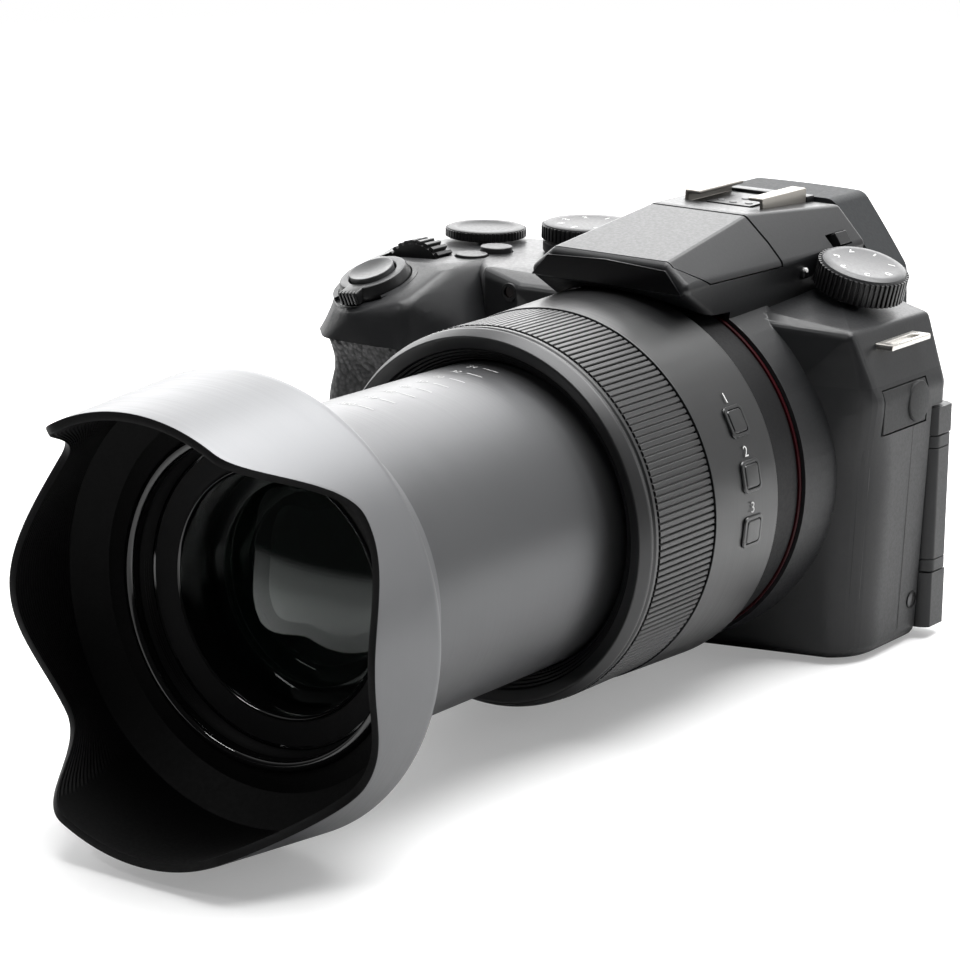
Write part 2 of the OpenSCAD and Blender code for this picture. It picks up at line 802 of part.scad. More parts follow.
module rear_lens_group() {
  color("#2a2a2c") on_axis() rotate_extrude() polygon([
    [0, -plate_y + 2.2], [rear_cell_r - 8, -plate_y + 2.2], [rear_cell_r - 8, -plate_y],
    [rear_cell_r, -plate_y], [rear_cell_r, -plate_y + 2], [rear_cell_r - 4.5, -plate_y + 2],
    [rear_cell_r - 4.5, 4], [rear_cell_r - 7, 4], [rear_cell_r - 7, 2.2], [0, 3.4]]);
}

motor_at = [-neck_r + 3, 13];

module zoom_motor() {
  color("#7c7e80") {
    translate([motor_at[0], plate_y, motor_at[1]]) rotate([90, 0, 0]) cylinder(r = 5, h = 16);
    translate([motor_at[0], plate_y - 16, motor_at[1]]) rotate([90, 0, 0]) cylinder(r = 1, h = 4);
  }
}

module control_ring() {
  color("#202123") on_axis() translate([0, 0, barrel_end + move_gap]) difference() {
    knurled(ring_r, ring_len - 2 * move_gap, ring_ribs, 0.5);
    translate([0, 0, -1]) cylinder(r = sleeve_r + move_gap, h = ring_len + 2);
  }
}

module lens_button_piece(i) {
  intersection() {
    button_block(i, lens_button, barrel_r - barrel_wall - 0.5, barrel_r + 2);
    ring(barrel_r + 0.1, guide_out, 0, big);
  }
}

module lens_button_1() { color("#2b2c2e") lens_button_piece(0); }
module lens_button_2() { color("#2b2c2e") lens_button_piece(1); }
module lens_button_3() { color("#2b2c2e") lens_button_piece(2); }

front_ring_len = filter_len + 3.5;
lens_seat = lens_end - filter_len - 3;

module zoom_tube() {
  color("#5d5f61") ring(tube_r, tube_r - tube_wall, tube_back, lens_end - front_ring_len);
}

module front_ring() {
  color("#101012") on_axis() rotate_extrude() polygon([
    [glass_r, lens_seat - 5], [tube_r - tube_wall, lens_seat - 5], [tube_r - tube_wall, lens_seat - 0.5],
    [tube_r, lens_seat - 0.5], [tube_r, lens_end], [filter_r, lens_end],
    [filter_r, lens_end - filter_len], [filter_r - 1.5, lens_end - filter_len - 0.8],
    [glass_r + 1, lens_seat + 1.2], [glass_r, lens_seat + 1.2]]);
}

module front_lens() {
  color("#4a5a55") on_axis() difference() {
    intersection() {
      translate([0, 0, lens_seat - 5.5]) cylinder(r = glass_r, h = 12);
      translate([0, 0, lens_seat + 2.4 - 62]) sphere(r = 62);
    }
    translate([0, 0, lens_seat - 5.5 - 90]) sphere(r = 91);
  }
}

// Petal hood: a tapered wall, trimmed by a front edge that waves round the axis
function petal(a) = abs(a) < 35
  ? petal_valley + (petal_side - petal_valley) * (1 + cos(180 * a / 35)) / 2
  : petal_valley + (petal_long - petal_valley) * (1 - cos(180 * (abs(a) - 35) / 29)) / 2;

module petal_trim() {
  rim_r = hood_r - hood_taper * petal_long;
  edge = [for (a = [-64 : 2 : 64]) [hood_y + petal(a), rim_r * sin(a)]];
  rotate([0, -90, 0]) linear_extrude(big, center = true)
    polygon(concat(edge, [[big, rim_r * sin(64)], [big, -rim_r * sin(64)]]));
}

module lens_hood() {
  color("#77797b") on_axis() difference() {
    rotate_extrude() polygon([
      [tube_r + shaft_gap, lens_end - 8.8], [tube_r + 2.4, lens_end - 8.8], [tube_r + 2.4, lens_end - 3.5],
      [hood_r, hood_y], [hood_r - hood_taper * petal_long, hood_y + petal_long],
      [hood_r - hood_taper * petal_long - hood_wall, hood_y + petal_long], [hood_r - hood_wall, hood_y + 1.2],
      [tube_r + 5, lens_end + 1.6], [filter_r + 0.4, lens_end + 1.6], [filter_r + 0.4, lens_end + move_gap],
      [tube_r + shaft_gap, lens_end + move_gap]]);
    petal_trim();
  }
}

group_y = lens_end - 62;
group_r = tube_r - tube_wall - 0.4;

module inner_lens_group() {
  color("#27282a") on_axis() rotate_extrude() polygon([
    [0, group_y + 2], [group_r - 10.8, group_y], [group_r - 10.8, group_y - 2], [group_r, group_y - 2],
    [group_r, group_y + 10], [group_r - 4.8, group_y + 10], [group_r - 4.8, group_y + 7], [0, group_y + 9]]);
}

lever_h = 3.4;
dish_r = 40;

module shutter_button() {
  color("#3a3b3d") on_platform() difference() {
    translate([0, 0, -4]) cylinder(r = shutter_r, h = lever_h + 5);
    translate([0, 0, lever_h + dish_r + 0.6]) sphere(r = dish_r);
  }
}

module zoom_lever() {
  color("#2d2e30") on_platform() difference() {
    union() {
      translate([0, 0, move_gap]) cylinder(r1 = lever_r, r2 = lever_r - 0.8, h = lever_h - move_gap);
      translate([0, 0, -4]) cylinder(r = sleeve_out, h = 5);
      translate([-2.6, -lever_r - tab_out, move_gap]) cube([5.2, 5, lever_h - 0.2]);
    }
    translate([0, 0, -5]) cylinder(r = shutter_r + move_gap, h = 20);
  }
}

module front_dial() {
  color("#1c1c1e") {
    translate(front_dial_at + [0, front_dial_t / 2, 0]) rotate([90, 0, 0])
      knurled(front_dial_r, front_dial_t, 26, 0.7);
    front_shaft(front_shaft_r, move_gap + ear_t);
  }
}

module dial_shaft(at, r) {
  translate([at[0], at[1], deck_h - 5]) cylinder(r = r, h = 5 + move_gap + eps);
}

module rear_dial() {
  color("#2a2a2c") {
    translate([rear_dial_at[0], rear_dial_at[1], deck_h + move_gap]) knurled(rear_dial_r, 2.4, 60, 0.4);
    dial_shaft(rear_dial_at, dial_shaft_r);
  }
}

collar_h = 2.4;

module power_lever() {
  color("#242426") translate([mode_dial_at[0], mode_dial_at[1], 0]) difference() {
    union() {
      translate([0, 0, deck_h + move_gap]) cylinder(r = mode_dial_r - 0.4, h = collar_h);
      translate([-1.6, mode_dial_r - 2, deck_h + move_gap]) cube([3.2, 4, collar_h]);
      translate([0, 0, deck_h - 5]) cylinder(r = dial_shaft_r + 1.2, h = 6);
    }
    translate([0, 0, deck_h - 6]) cylinder(r = dial_shaft_r + shaft_gap, h = 20);
  }
}

module mode_dial() {
  color("#2a2a2c") translate([mode_dial_at[0], mode_dial_at[1], 0]) {
    translate([0, 0, deck_h + 2 * move_gap + collar_h]) knurled(mode_dial_r, 3.9, 56, 0.4);
    translate([0, 0, deck_h - 5]) cylinder(r = dial_shaft_r, h = 6 + collar_h + move_gap);
  }
}

module drive_dial() {
  color("#2a2a2c") on_drive() {
    translate([0, 0, dial_lift]) knurled(drive_dial_r, drive_dial_h, 52, 0.4);
    translate([0, 0, -5]) cylinder(r = dial_shaft_r, h = 6);
  }
}

module top_button(at, rise) {
  translate([at[0], at[1], deck_h - button_head]) cylinder(r = top_button_r, h = button_head + rise);
  translate([at[0], at[1], deck_h - wall - 3]) cylinder(r = top_button_r / 2, h = wall + 3);
}

module function_button() { color("#303133") top_button(function_at, button_rise); }
module record_button() { color("#303133") top_button(record_at, button_rise + 0.8); }

module flash_lid() {
  color("#2a2b2e") intersection() {
    difference() {
      hump(0);
      hump(hump_wall);
    }
    lid_zone(0);
  }
}

module flash_tube() {
  color("#c8c4b8") intersection() {
    box([-11, -hump_front + 11, lid_seam + 0.2], [11, -hump_front + 17, shoe_z]);
    hump(hump_wall);
  }
}

module flash_switch() {
  color("#1f1f21") on_hump_side() translate([-2, -switch_size[1] / 2, -switch_size[2] / 2])
    cube(switch_size + [1.2, 0, 0]);
}

module screen_hinge() {
  color("#2a2b2d") {
    hinge_rod(hinge_r, knuckle_z[0] + knuckle_h + 0.2, knuckle_z[1] - knuckle_h - 0.2);
    hinge_rod(hinge_pin_r, knuckle_z[0] + 0.2, knuckle_z[1] - 0.2);
    translate([hinge_at[0], hinge_at[1], (knuckle_z[0] + knuckle_z[1]) / 2]) rotate([0, -90, 0])
      cylinder(r = 2.4, h = 10);
  }
}

glass_t = 1;

module screen_frame() {
  color("#1e1f21") difference() {
    union() {
      box([screen_left, screen_y, screen_z[0]], [hinge_at[0], screen_y + screen_t, screen_z[1]]);
      hinge_rod(screen_t / 2, screen_z[0], screen_z[1]);
    }
    box([hinge_at[0] - hinge_r - 1.2, 0, knuckle_z[0] - 0.3], [big, big, knuckle_z[1] + 0.3]);
    box([screen_left + 4, screen_y + screen_t - glass_t, screen_z[0] + 4],
      [hinge_at[0] - 6.2, big, screen_z[1] - 3.5]);
    translate([hinge_at[0], hinge_at[1], (knuckle_z[0] + knuckle_z[1]) / 2]) rotate([0, -90, 0])
      cylinder(r = 2.4, h = 10);
  }
}

module screen_glass() {
  color("#101418") box([screen_left + 4, screen_y + screen_t - glass_t, screen_z[0] + 4],
    [hinge_at[0] - 6.2, screen_y + screen_t - 0.2, screen_z[1] - 3.5]);
}

module diopter_wheel() {
  color("#1f1f21") translate(wheel_at) {
    rotate([0, -90, 0]) knurled(wheel_r, wheel_t, 24, 0.3);
    rotate([0, 90, 0]) translate([0, 0, -eps]) cylinder(r = wheel_shaft, h = 7);
  }
}

module battery_door() {
  color("#222326") intersection() {
    difference() {
      grip_low(0);
      grip_low(wall);
    }
    battery_zone(0);
    below_base();
  }
}

module mic_door() {
  color("#1b1b1c") intersection() {
    difference() {
      core(0);
      core(wall);
    }
    mic_zone(0);
  }
}

module port_door() {
  color("#1b1b1c") intersection() {
    difference() {
      grip_low(0);
      grip_low(wall);
    }
    port_zone(0);
  }
}

module cursor_pad() {
  color("#1f1f21") difference() {
    rear_peg(cursor_at, cursor_r, back_y - 0.7, back_y + 0.8);
    rear_peg(cursor_at, 4.6 + move_gap, 0, big);
  }
}

module set_button() {
  color("#1f1f21") {
    rear_peg(cursor_at, 4.6, back_y - 0.7, back_y + 1);
    rear_peg(cursor_at, 3, back_y - 4, back_y);
  }
}

module rear_button(at) { color("#1f1f21") rear_peg(at, rear_button_r, back_y - 3, back_y + 0.8); }

module play_button() { rear_button(play_at); }
module lock_button() { rear_button(lock_at); }
module menu_button() { rear_button(menu_at); }

front_cover();
rear_cover();
top_cover();
base_plate();
hump_plate();
grip_skin();
thumb_rest();
hot_shoe();
shoe_contacts();
eyecup();
eyepiece_lens();
finder_unit();
strap_lugs();
tripod_socket();
battery();
main_board();
chassis();
image_sensor();
cover_screws();
focus_lamp();
neck_ring();
accent_ring();
lens_barrel();
barrel_bezel();
guide_tube();
rear_lens_group();
zoom_motor();
control_ring();
lens_button_1();
lens_button_2();
lens_button_3();
zoom_tube();
front_ring();
front_lens();
lens_hood();
inner_lens_group();
shutter_button();
zoom_lever();
front_dial();
rear_dial();
mode_dial();
power_lever();
drive_dial();
function_button();
record_button();
flash_lid();
flash_tube();
flash_switch();
screen_hinge();
screen_frame();
screen_glass();
diopter_wheel();
battery_door();
mic_door();
port_door();
cursor_pad();
set_button();
play_button();
lock_button();
menu_button();
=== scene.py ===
import json
import math

import bmesh
import bpy
from mathutils import Matrix, Vector


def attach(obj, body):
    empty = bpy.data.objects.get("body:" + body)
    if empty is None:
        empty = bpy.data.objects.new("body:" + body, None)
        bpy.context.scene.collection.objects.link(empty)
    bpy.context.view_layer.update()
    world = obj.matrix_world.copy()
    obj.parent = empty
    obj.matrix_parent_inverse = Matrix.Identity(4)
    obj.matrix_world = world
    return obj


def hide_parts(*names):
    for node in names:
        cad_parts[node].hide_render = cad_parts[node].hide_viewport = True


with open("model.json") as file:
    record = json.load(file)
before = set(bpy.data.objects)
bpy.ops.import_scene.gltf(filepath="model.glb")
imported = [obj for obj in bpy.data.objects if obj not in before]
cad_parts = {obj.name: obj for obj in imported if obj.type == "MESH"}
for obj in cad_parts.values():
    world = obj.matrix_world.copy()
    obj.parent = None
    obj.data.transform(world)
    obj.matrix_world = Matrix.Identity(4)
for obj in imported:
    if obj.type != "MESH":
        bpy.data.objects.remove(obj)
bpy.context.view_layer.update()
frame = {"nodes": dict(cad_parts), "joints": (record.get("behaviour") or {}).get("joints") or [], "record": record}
nodes = frame["nodes"]

MM = 0.001
AXIS_H = 41.1
TURNS = 192
SHARP = 32.0
MERGE = 0.000002
PRINT_LIFT = 0.03
body_of = {n: b for b, members in frame["record"]["behaviour"]["bodies"].items() for n in members}
joint_of = {j["name"]: j for j in frame["joints"]}

# Lens axis frame: local Z runs forward, local Y runs up
ON_AXIS = Matrix.Translation((0, 0, AXIS_H)) @ Matrix.Rotation(math.radians(90), 4, "X")


# Materials

class Wire:
    """One socket in a shader tree; arithmetic between wires adds math nodes."""

    def __init__(self, tree, socket):
        self.tree = tree
        self.socket = socket

    def node(self, kind, pins=None, out=0, **options):
        made = self.tree.nodes.new(kind)
        for key, value in options.items():
            setattr(made, key, value)
        for pin, value in (pins or {}).items():
            if isinstance(value, Wire):
                self.tree.links.new(value.socket, made.inputs[pin])
            else:
                made.inputs[pin].default_value = value
        return Wire(self.tree, made.outputs[out])

    def math(self, operation, *others):
        return self.node("ShaderNodeMath", dict(enumerate((self,) + others)), operation=operation)

    def __add__(self, other):
        return self.math("ADD", other)

    def __sub__(self, other):
        return self.math("SUBTRACT", other)

    def __rsub__(self, other):
        return self * -1.0 + other

    def __mul__(self, other):
        return self.math("MULTIPLY", other)

    __radd__ = __add__
    __rmul__ = __mul__

    def axis(self, n):
        return self.node("ShaderNodeSeparateXYZ", {0: self}, out=n)

    def length(self):
        return self.node("ShaderNodeVectorMath", {0: self}, out="Value", operation="LENGTH")

    def noise(self, scale, detail=3.0, rough=0.55):
        return self.node("ShaderNodeTexNoise",
                         {"Vector": self, "Scale": scale, "Detail": detail, "Roughness": rough})

    def cells(self, scale):
        return self.node("ShaderNodeTexVoronoi", {"Vector": self, "Scale": scale, "Smoothness": 0.35},
                         feature="SMOOTH_F1")

    def ramp(self, low, high, a, b):
        return self.node("ShaderNodeMapRange", {0: self, 1: low, 2: high, 3: a, 4: b},
                         interpolation_type="SMOOTHSTEP")

    def stretch(self, scale):
        return self.node("ShaderNodeMapping", {"Vector": self, "Scale": scale})

    def bump(self, strength, depth):
        return self.node("ShaderNodeBump", {"Height": self, "Strength": strength, "Distance": depth})

    def tint(self, dark, light):
        return self.node("ShaderNodeMix", {0: self, 6: (*dark, 1), 7: (*light, 1)}, out=2,
                         data_type="RGBA")


def source(tree, kind, out):
    """The wire of a node that has no inputs."""
    return Wire(tree, None).node(kind, out=out)


def new_material(name, color, rough, metallic=0.0, coat=0.0, specular=0.5):
    """A Principled material and the wire of its object coordinates."""
    mat = bpy.data.materials.new(name)
    mat.use_nodes = True
    shader = mat.node_tree.nodes["Principled BSDF"]
    shader.inputs["Base Color"].default_value = (*color, 1)
    shader.inputs["Roughness"].default_value = rough
    shader.inputs["Metallic"].default_value = metallic
    shader.inputs["Coat Weight"].default_value = coat
    shader.inputs["Coat Roughness"].default_value = 0.08
    shader.inputs["Specular IOR Level"].default_value = specular
    return mat, shader, source(mat.node_tree, "ShaderNodeTexCoord", "Object")


def feed(shader, pin, wire):
    """Links a wire to one of a shader's pins."""
    wire.tree.links.new(wire.socket, shader.inputs[pin])


def grained(name, dark, light, rough, grain=2600.0, strength=0.25, depth=0.00004, specular=0.5):
    """Moulded plastic or paint: a fine grain in the surface and a faint drift of tone."""
    mat, shader, at = new_material(name, dark, rough, specular=specular)
    fine = at.noise(grain, 4.0, 0.6)
    feed(shader, "Base Color", (at.noise(45.0, 2.0) * 0.4 + fine * 0.6).tint(dark, light))
    feed(shader, "Roughness", at.noise(1400.0, 3.0).ramp(0.3, 0.7, rough - 0.04, rough + 0.04))
    feed(shader, "Normal", fine.bump(strength, depth))
    return mat


def leathered(name, dark, light, scale=820.0, depth=0.0004):
    """Rubber with a pebbled leather grain; the raised pebble tops are painted lighter, a painted sheen, and the
    hollows between them darker, painted shade.
    """
    mat, shader, at = new_material(name, dark, 0.62, specular=0.4)
    pebble_with_painted_sheen = at.cells(scale)
    # Painted sheen and shade: the pebble tops take the light tone and the hollows between them the dark one.
    feed(shader, "Base Color", pebble_with_painted_sheen.tint(light, dark))
    feed(shader, "Roughness", at.noise(700.0).ramp(0.3, 0.7, 0.50, 0.72))
    feed(shader, "Normal", (pebble_with_painted_sheen * -1.0 + at.noise(3200.0) * 0.25).bump(0.9, depth))
    return mat


def turned(name, dark, light, rough, metallic=0.0, specular=0.5):
    """Paint on a turned surface: very fine marks that run round the lens axis."""
    mat, shader, at = new_material(name, dark, rough, metallic=metallic, specular=specular)
    marks = at.stretch((40.0, 5200.0, 40.0)).noise(1.0, 3.0, 0.6)
    feed(shader, "Base Color", (marks * 0.4 + at.noise(30.0, 2.0) * 0.6).tint(dark, light))
    feed(shader, "Roughness", marks.ramp(0.3, 0.7, rough - 0.04, rough + 0.05))
    feed(shader, "Normal", (marks * 0.4 + at.noise(5200.0, 3.0) * 0.6).bump(0.12, 0.00003))
    return mat


def brushed(name, dark, light, rough):
    """Bare metal with fine marks along its length."""
    mat, shader, at = new_material(name, dark, rough, metallic=1.0)
    marks = at.stretch((300.0, 6000.0, 900.0)).noise(1.0, 3.0)
    feed(shader, "Base Color", marks.tint(dark, light))
    feed(shader, "Roughness", marks.ramp(0.3, 0.7, rough - 0.06, rough + 0.08))
    feed(shader, "Normal", marks.bump(0.15, 0.00003))
    return mat


def glossy(name, color, rough, coat=1.0, specular=0.5):
    """A smooth, shiny surface."""
    mat, shader, at = new_material(name, color, rough, coat=coat, specular=specular)
    feed(shader, "Roughness", at.noise(300.0).ramp(0.3, 0.7, rough, rough + 0.04))
    feed(shader, "Base Color", at.noise(60.0).tint(color, tuple(c * 1.3 for c in color)))
    return mat


def coated_glass(name, color, tint, cover=1.0, coat_index=1.5):
    """Optical glass: a dark depth under a clear, faintly tinted face.

    cover below 1 lets what lies behind show."""
    mat, shader, at = new_material(name, color, 0.04, coat=1.0, specular=0.6)
    shader.inputs["Coat Roughness"].default_value = 0.02
    shader.inputs["Coat Tint"].default_value = (*tint, 1)
    shader.inputs["Coat IOR"].default_value = coat_index
    shader.inputs["Alpha"].default_value = cover
    feed(shader, "Base Color", at.noise(18.0, 1.0).tint(color, tuple(c * 1.6 for c in color)))
    return mat


cover = grained("cover_plastic", (0.008, 0.0083, 0.009), (0.012, 0.0124, 0.0135), 0.46,
                strength=0.35, specular=0.36)
top_finish = grained("top_plastic", (0.009, 0.0093, 0.010), (0.017, 0.0174, 0.0185), 0.37,
                     strength=0.3, specular=0.38)
control = grained("control_plastic", (0.005, 0.005, 0.0055), (0.009, 0.009, 0.0095), 0.38,
                  strength=0.15, specular=0.45)
dial_top = grained("dial_top", (0.030, 0.0305, 0.032), (0.044, 0.0445, 0.046), 0.36, strength=0.15)
button_top = grained("button_top", (0.016, 0.016, 0.017), (0.024, 0.024, 0.025), 0.42,
                     strength=0.2, specular=0.35)
black_matt = grained("black_matt", (0.004, 0.004, 0.0045), (0.007, 0.007, 0.0075), 0.55,
                     strength=0.15, specular=0.2)
black_ring = glossy("black_ring", (0.003, 0.003, 0.0035), 0.06)
hood_inside = grained("hood_inside", (0.003, 0.003, 0.0032), (0.005, 0.005, 0.0052), 0.62,
                      strength=0.2, specular=0.2)
barrel_paint = turned("barrel_paint", (0.007, 0.0072, 0.0076), (0.011, 0.0112, 0.0118), 0.34,
                      specular=0.6)
ring_rubber = grained("ring_rubber", (0.006, 0.006, 0.0063), (0.010, 0.010, 0.0104), 0.40,
                      strength=0.2, specular=0.6)
tube_paint = turned("tube_paint", (0.080, 0.081, 0.084), (0.104, 0.105, 0.108), 0.37, metallic=0.7)
hood_paint = turned("hood_paint", (0.125, 0.127, 0.131), (0.152, 0.154, 0.158), 0.40, metallic=0.6)
# A lighter grey for the bezel's outer front chamfer: a painted highlight along its rim.
bezel_rim_painted_highlight = turned("bezel_rim_painted_highlight", (0.030, 0.0303, 0.031), (0.042, 0.0423, 0.043), 0.40,
                     metallic=0.4)
leather = leathered("grip_rubber", (0.012, 0.012, 0.012), (0.080, 0.080, 0.082))
door_rubber = grained("door_rubber", (0.016, 0.0165, 0.017), (0.024, 0.0245, 0.025), 0.58,
                      strength=0.3, specular=0.3)
cup_rubber = grained("eyecup_rubber", (0.014, 0.0155, 0.017), (0.021, 0.0225, 0.024), 0.62,
                     strength=0.2, specular=0.2)
plate_black = glossy("plate_black", (0.003, 0.003, 0.0035), 0.16, coat=0.0, specular=0.25)
screen_gloss = glossy("screen_gloss", (0.002, 0.0023, 0.0028), 0.05, coat=0.0, specular=0.2)
steel = brushed("bright_steel", (0.50, 0.48, 0.45), (0.66, 0.64, 0.60), 0.32)
shoe_steel = brushed("shoe_steel", (0.34, 0.32, 0.29), (0.46, 0.44, 0.41), 0.42)
dark_steel = brushed("dark_steel", (0.05, 0.05, 0.052), (0.09, 0.09, 0.092), 0.35)
accent = grained("accent_red", (0.020, 0.0006, 0.0018), (0.030, 0.001, 0.003), 0.40,
                 strength=0.1, specular=0.1)
scale_ink = grained("scale_ink", (0.36, 0.36, 0.36), (0.46, 0.46, 0.46), 0.55, strength=0.05)
ink = grained("white_ink", (0.66, 0.66, 0.65), (0.78, 0.78, 0.77), 0.55, strength=0.05)
lamp = glossy("lamp_glass", (0.006, 0.002, 0.002), 0.25, coat=0.0, specular=0.2)
board = glossy("board_green", (0.010, 0.055, 0.028), 0.35, coat=0.3)
cell_shell = grained("battery_shell", (0.030, 0.032, 0.036), (0.045, 0.047, 0.052), 0.45,
                     strength=0.1)
flash_white = glossy("flash_window", (0.55, 0.55, 0.53), 0.18, coat=0.5)
front_glass = coated_glass("front_glass", (0.003, 0.004, 0.004), (0.92, 1.0, 0.97), cover=0.6)
inner_glass = coated_glass("inner_glass", (0.008, 0.018, 0.013), (0.62, 1.0, 0.80), coat_index=2.2)
eye_glass = coated_glass("eye_glass", (0.004, 0.005, 0.007), (0.85, 0.92, 1.0))


# Places taken from the frame

def joint_place(name):
    """Local frame of a joint, in millimetres: Z on its axis, X as near to the part's X as it can be."""
    joint = joint_of[name]
    z = Vector(joint["axis"]).normalized()
    x = (Vector((1, 0, 0)) - z * z.x).normalized()
    place = Matrix((x, z.cross(x), z)).transposed().to_4x4()
    place.translation = Vector(joint["pos_m"]) / MM
    return place


def span(node, place=Matrix()):
    """Lowest and highest corner of a CAD node in a local frame, in millimetres."""
    back = place.inverted()
    points = [back @ (v.co / MM) for v in nodes[node].data.vertices]
    return [min(p[i] for p in points) for i in range(3)], [max(p[i] for p in points) for i in range(3)]


def middle(node):
    """Centre of a CAD node's box, in millimetres."""
    low, high = span(node)
    return Vector((a + b) / 2 for a, b in zip(low, high))


# Mesh helpers

def add_object(name, verts, faces, mats, indices=None, sharp=SHARP):
    """A mesh object from points in millimetres, shaded smooth up to an angle."""
    mesh = bpy.data.meshes.new(name)
    mesh.from_pydata([Vector(v) * MM for v in verts], [], faces)
    for m in mats:
        mesh.materials.append(m)
    if indices is not None:
        mesh.polygons.foreach_set("material_index", indices)
    mesh.validate()
    bm = bmesh.new()
    bm.from_mesh(mesh)
    bmesh.ops.recalc_face_normals(bm, faces=bm.faces)
    bm.to_mesh(mesh)
    bm.free()
    mesh.shade_smooth()
    mesh.set_sharp_from_angle(angle=math.radians(sharp))
    obj = bpy.data.objects.new(name, mesh)
    bpy.context.scene.collection.objects.link(obj)
    return obj


def evaluated(obj):
    """A plain mesh of an object as it shows, modifiers included."""
    graph = bpy.context.evaluated_depsgraph_get()
    return bpy.data.meshes.new_from_object(obj.evaluated_get(graph))


def baked(obj, kind, **options):
    """Applies one modifier to an object's mesh."""
    step = obj.modifiers.new("step", kind)
    for key, value in options.items():
        setattr(step, key, value)
    made = evaluated(obj)
    obj.modifiers.clear()
    obj.data = made


def stand_for(obj, node):
    """obj rides with a CAD node's body and is shown in its place."""
    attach(obj, body_of[node])
    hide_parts(node)


def goes_with(obj, node):
    """obj is a detail that rides with a CAD node's body."""
    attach(obj, body_of[node])


def rounded(points, steps=4):
    """A closed outline whose corners (r, h, fillet) are turned into short arcs."""
    out = []
    count = len(points)
    for i, p in enumerate(points):
        here = Vector(p[:2])
        fillet = p[2] if len(p) > 2 else 0.0
        before = Vector(points[i - 1][:2]) - here
        after = Vector(points[(i + 1) % count][:2]) - here
        reach = min(fillet, 0.45 * before.length, 0.45 * after.length)
        if reach <= 0.0:
            out.append(tuple(here))
            continue
        a = here + before.normalized() * reach
        b = here + after.normalized() * reach
        for k in range(steps + 1):
            t = k / steps
            q = a * (1 - t) ** 2 + here * 2 * t * (1 - t) + b * t ** 2
            out.append(tuple(q))
    return out


def lathe(name, outline, place, mats, pick=None, turns=TURNS, sharp=SHARP):
    """Turns a closed outline of (radius, height) about local Z.

    pick gives a material index from (radius, height)."""
    ring = len(outline)
    verts = []
    for i in range(turns):
        a = 2 * math.pi * i / turns
        for r, h in outline:
            verts.append(place @ Vector((r * math.cos(a), r * math.sin(a), h)))
    faces, indices = [], []
    for i in range(turns):
        j = (i + 1) % turns
        for k in range(ring):
            m = (k + 1) % ring
            faces.append((i * ring + k, i * ring + m, j * ring + m, j * ring + k))
            r = (outline[k][0] + outline[m][0]) / 2
            h = (outline[k][1] + outline[m][1]) / 2
            indices.append(pick(r, h) if pick else 0)
    return add_object(name, verts, faces, mats, indices, sharp)


def disc_lathe(name, outline, place, mats, pick=None, turns=96):
    """Turns an open outline that starts and ends on the axis."""
    inner = [p for p in outline if p[0] > 1e-6]
    ring = len(inner)
    verts = [place @ Vector((0, 0, outline[0][1])), place @ Vector((0, 0, outline[-1][1]))]
    for i in range(turns):
        a = 2 * math.pi * i / turns
        for r, h in inner:
            verts.append(place @ Vector((r * math.cos(a), r * math.sin(a), h)))
    faces, indices = [], []
    for i in range(turns):
        j = (i + 1) % turns
        faces.append((0, 2 + i * ring, 2 + j * ring))
        indices.append(pick(0.0, outline[0][1]) if pick else 0)
        faces.append((1, 2 + j * ring + ring - 1, 2 + i * ring + ring - 1))
        indices.append(pick(0.0, outline[-1][1]) if pick else 0)
        for k in range(ring - 1):
            a, b = 2 + i * ring + k, 2 + j * ring + k
            faces.append((a, a + 1, b + 1, b))
            r = (inner[k][0] + inner[k + 1][0]) / 2
            h = (inner[k][1] + inner[k + 1][1]) / 2
            indices.append(pick(r, h) if pick else 0)
    return add_object(name, verts, faces, mats, indices)


def softened(node, mats, width=0.25, angle=38.0, sharp=30.0, shape=None, pick=None):
    """A copy of a CAD node with merged points and small bevels on its edges, shown in its place.

    shape changes the mesh first; pick gives a material index from a face's middle in millimetres."""
    mesh = nodes[node].data.copy()
    mesh.name = node + "_look"
    bm = bmesh.new()
    bm.from_mesh(mesh)
    bmesh.ops.remove_doubles(bm, verts=bm.verts, dist=MERGE)
    bmesh.ops.dissolve_limit(bm, angle_limit=math.radians(0.6), verts=bm.verts, edges=bm.edges)
    if shape:
        shape(bm)
    bm.to_mesh(mesh)
    bm.free()
    mesh.materials.clear()
    for m in mats:
        mesh.materials.append(m)
    indices = [pick(f.center / MM) if pick else 0 for f in mesh.polygons]
    mesh.polygons.foreach_set("material_index", indices)
    mesh.shade_smooth()
    obj = bpy.data.objects.new(node + "_look", mesh)
    bpy.context.scene.collection.objects.link(obj)
    if width > 0:
        baked(obj, "BEVEL", width=width * MM, segments=2, limit_method="ANGLE",
              angle_limit=math.radians(angle), use_clamp_overlap=True)
    obj.data.set_sharp_from_angle(angle=math.radians(sharp))
    baked(obj, "WEIGHTED_NORMAL", keep_sharp=True, weight=60)
    stand_for(obj, node)


def block(low, high, soft, steps=3):
    """Points and faces of a box with rounded edges."""
    bm = bmesh.new()
    bmesh.ops.create_cube(bm, size=1.0)
    for v in bm.verts:
        v.co = Vector(a + (c + 0.5) * (b - a) for a, b, c in zip(low, high, v.co))
    bmesh.ops.bevel(bm, geom=bm.edges[:], offset=soft, segments=steps, profile=0.5, affect="EDGES")
    bm.verts.index_update()
    verts = [v.co.copy() for v in bm.verts]
    faces = [tuple(v.index for v in f.verts) for f in bm.faces]
    bm.free()
    return verts, faces


def together(shapes):
    """Several (points, faces) pairs as one."""
    verts, faces = [], []
    for some_verts, some_faces in shapes:
        base = len(verts)
        verts += some_verts
        faces += [tuple(base + i for i in face) for face in some_faces]
    return verts, faces


def moved(shape, place):
    """A (points, faces) pair put in another place."""
    return [place @ Vector(v) for v in shape[0]], shape[1]


# Repeated details, set out by one node tree

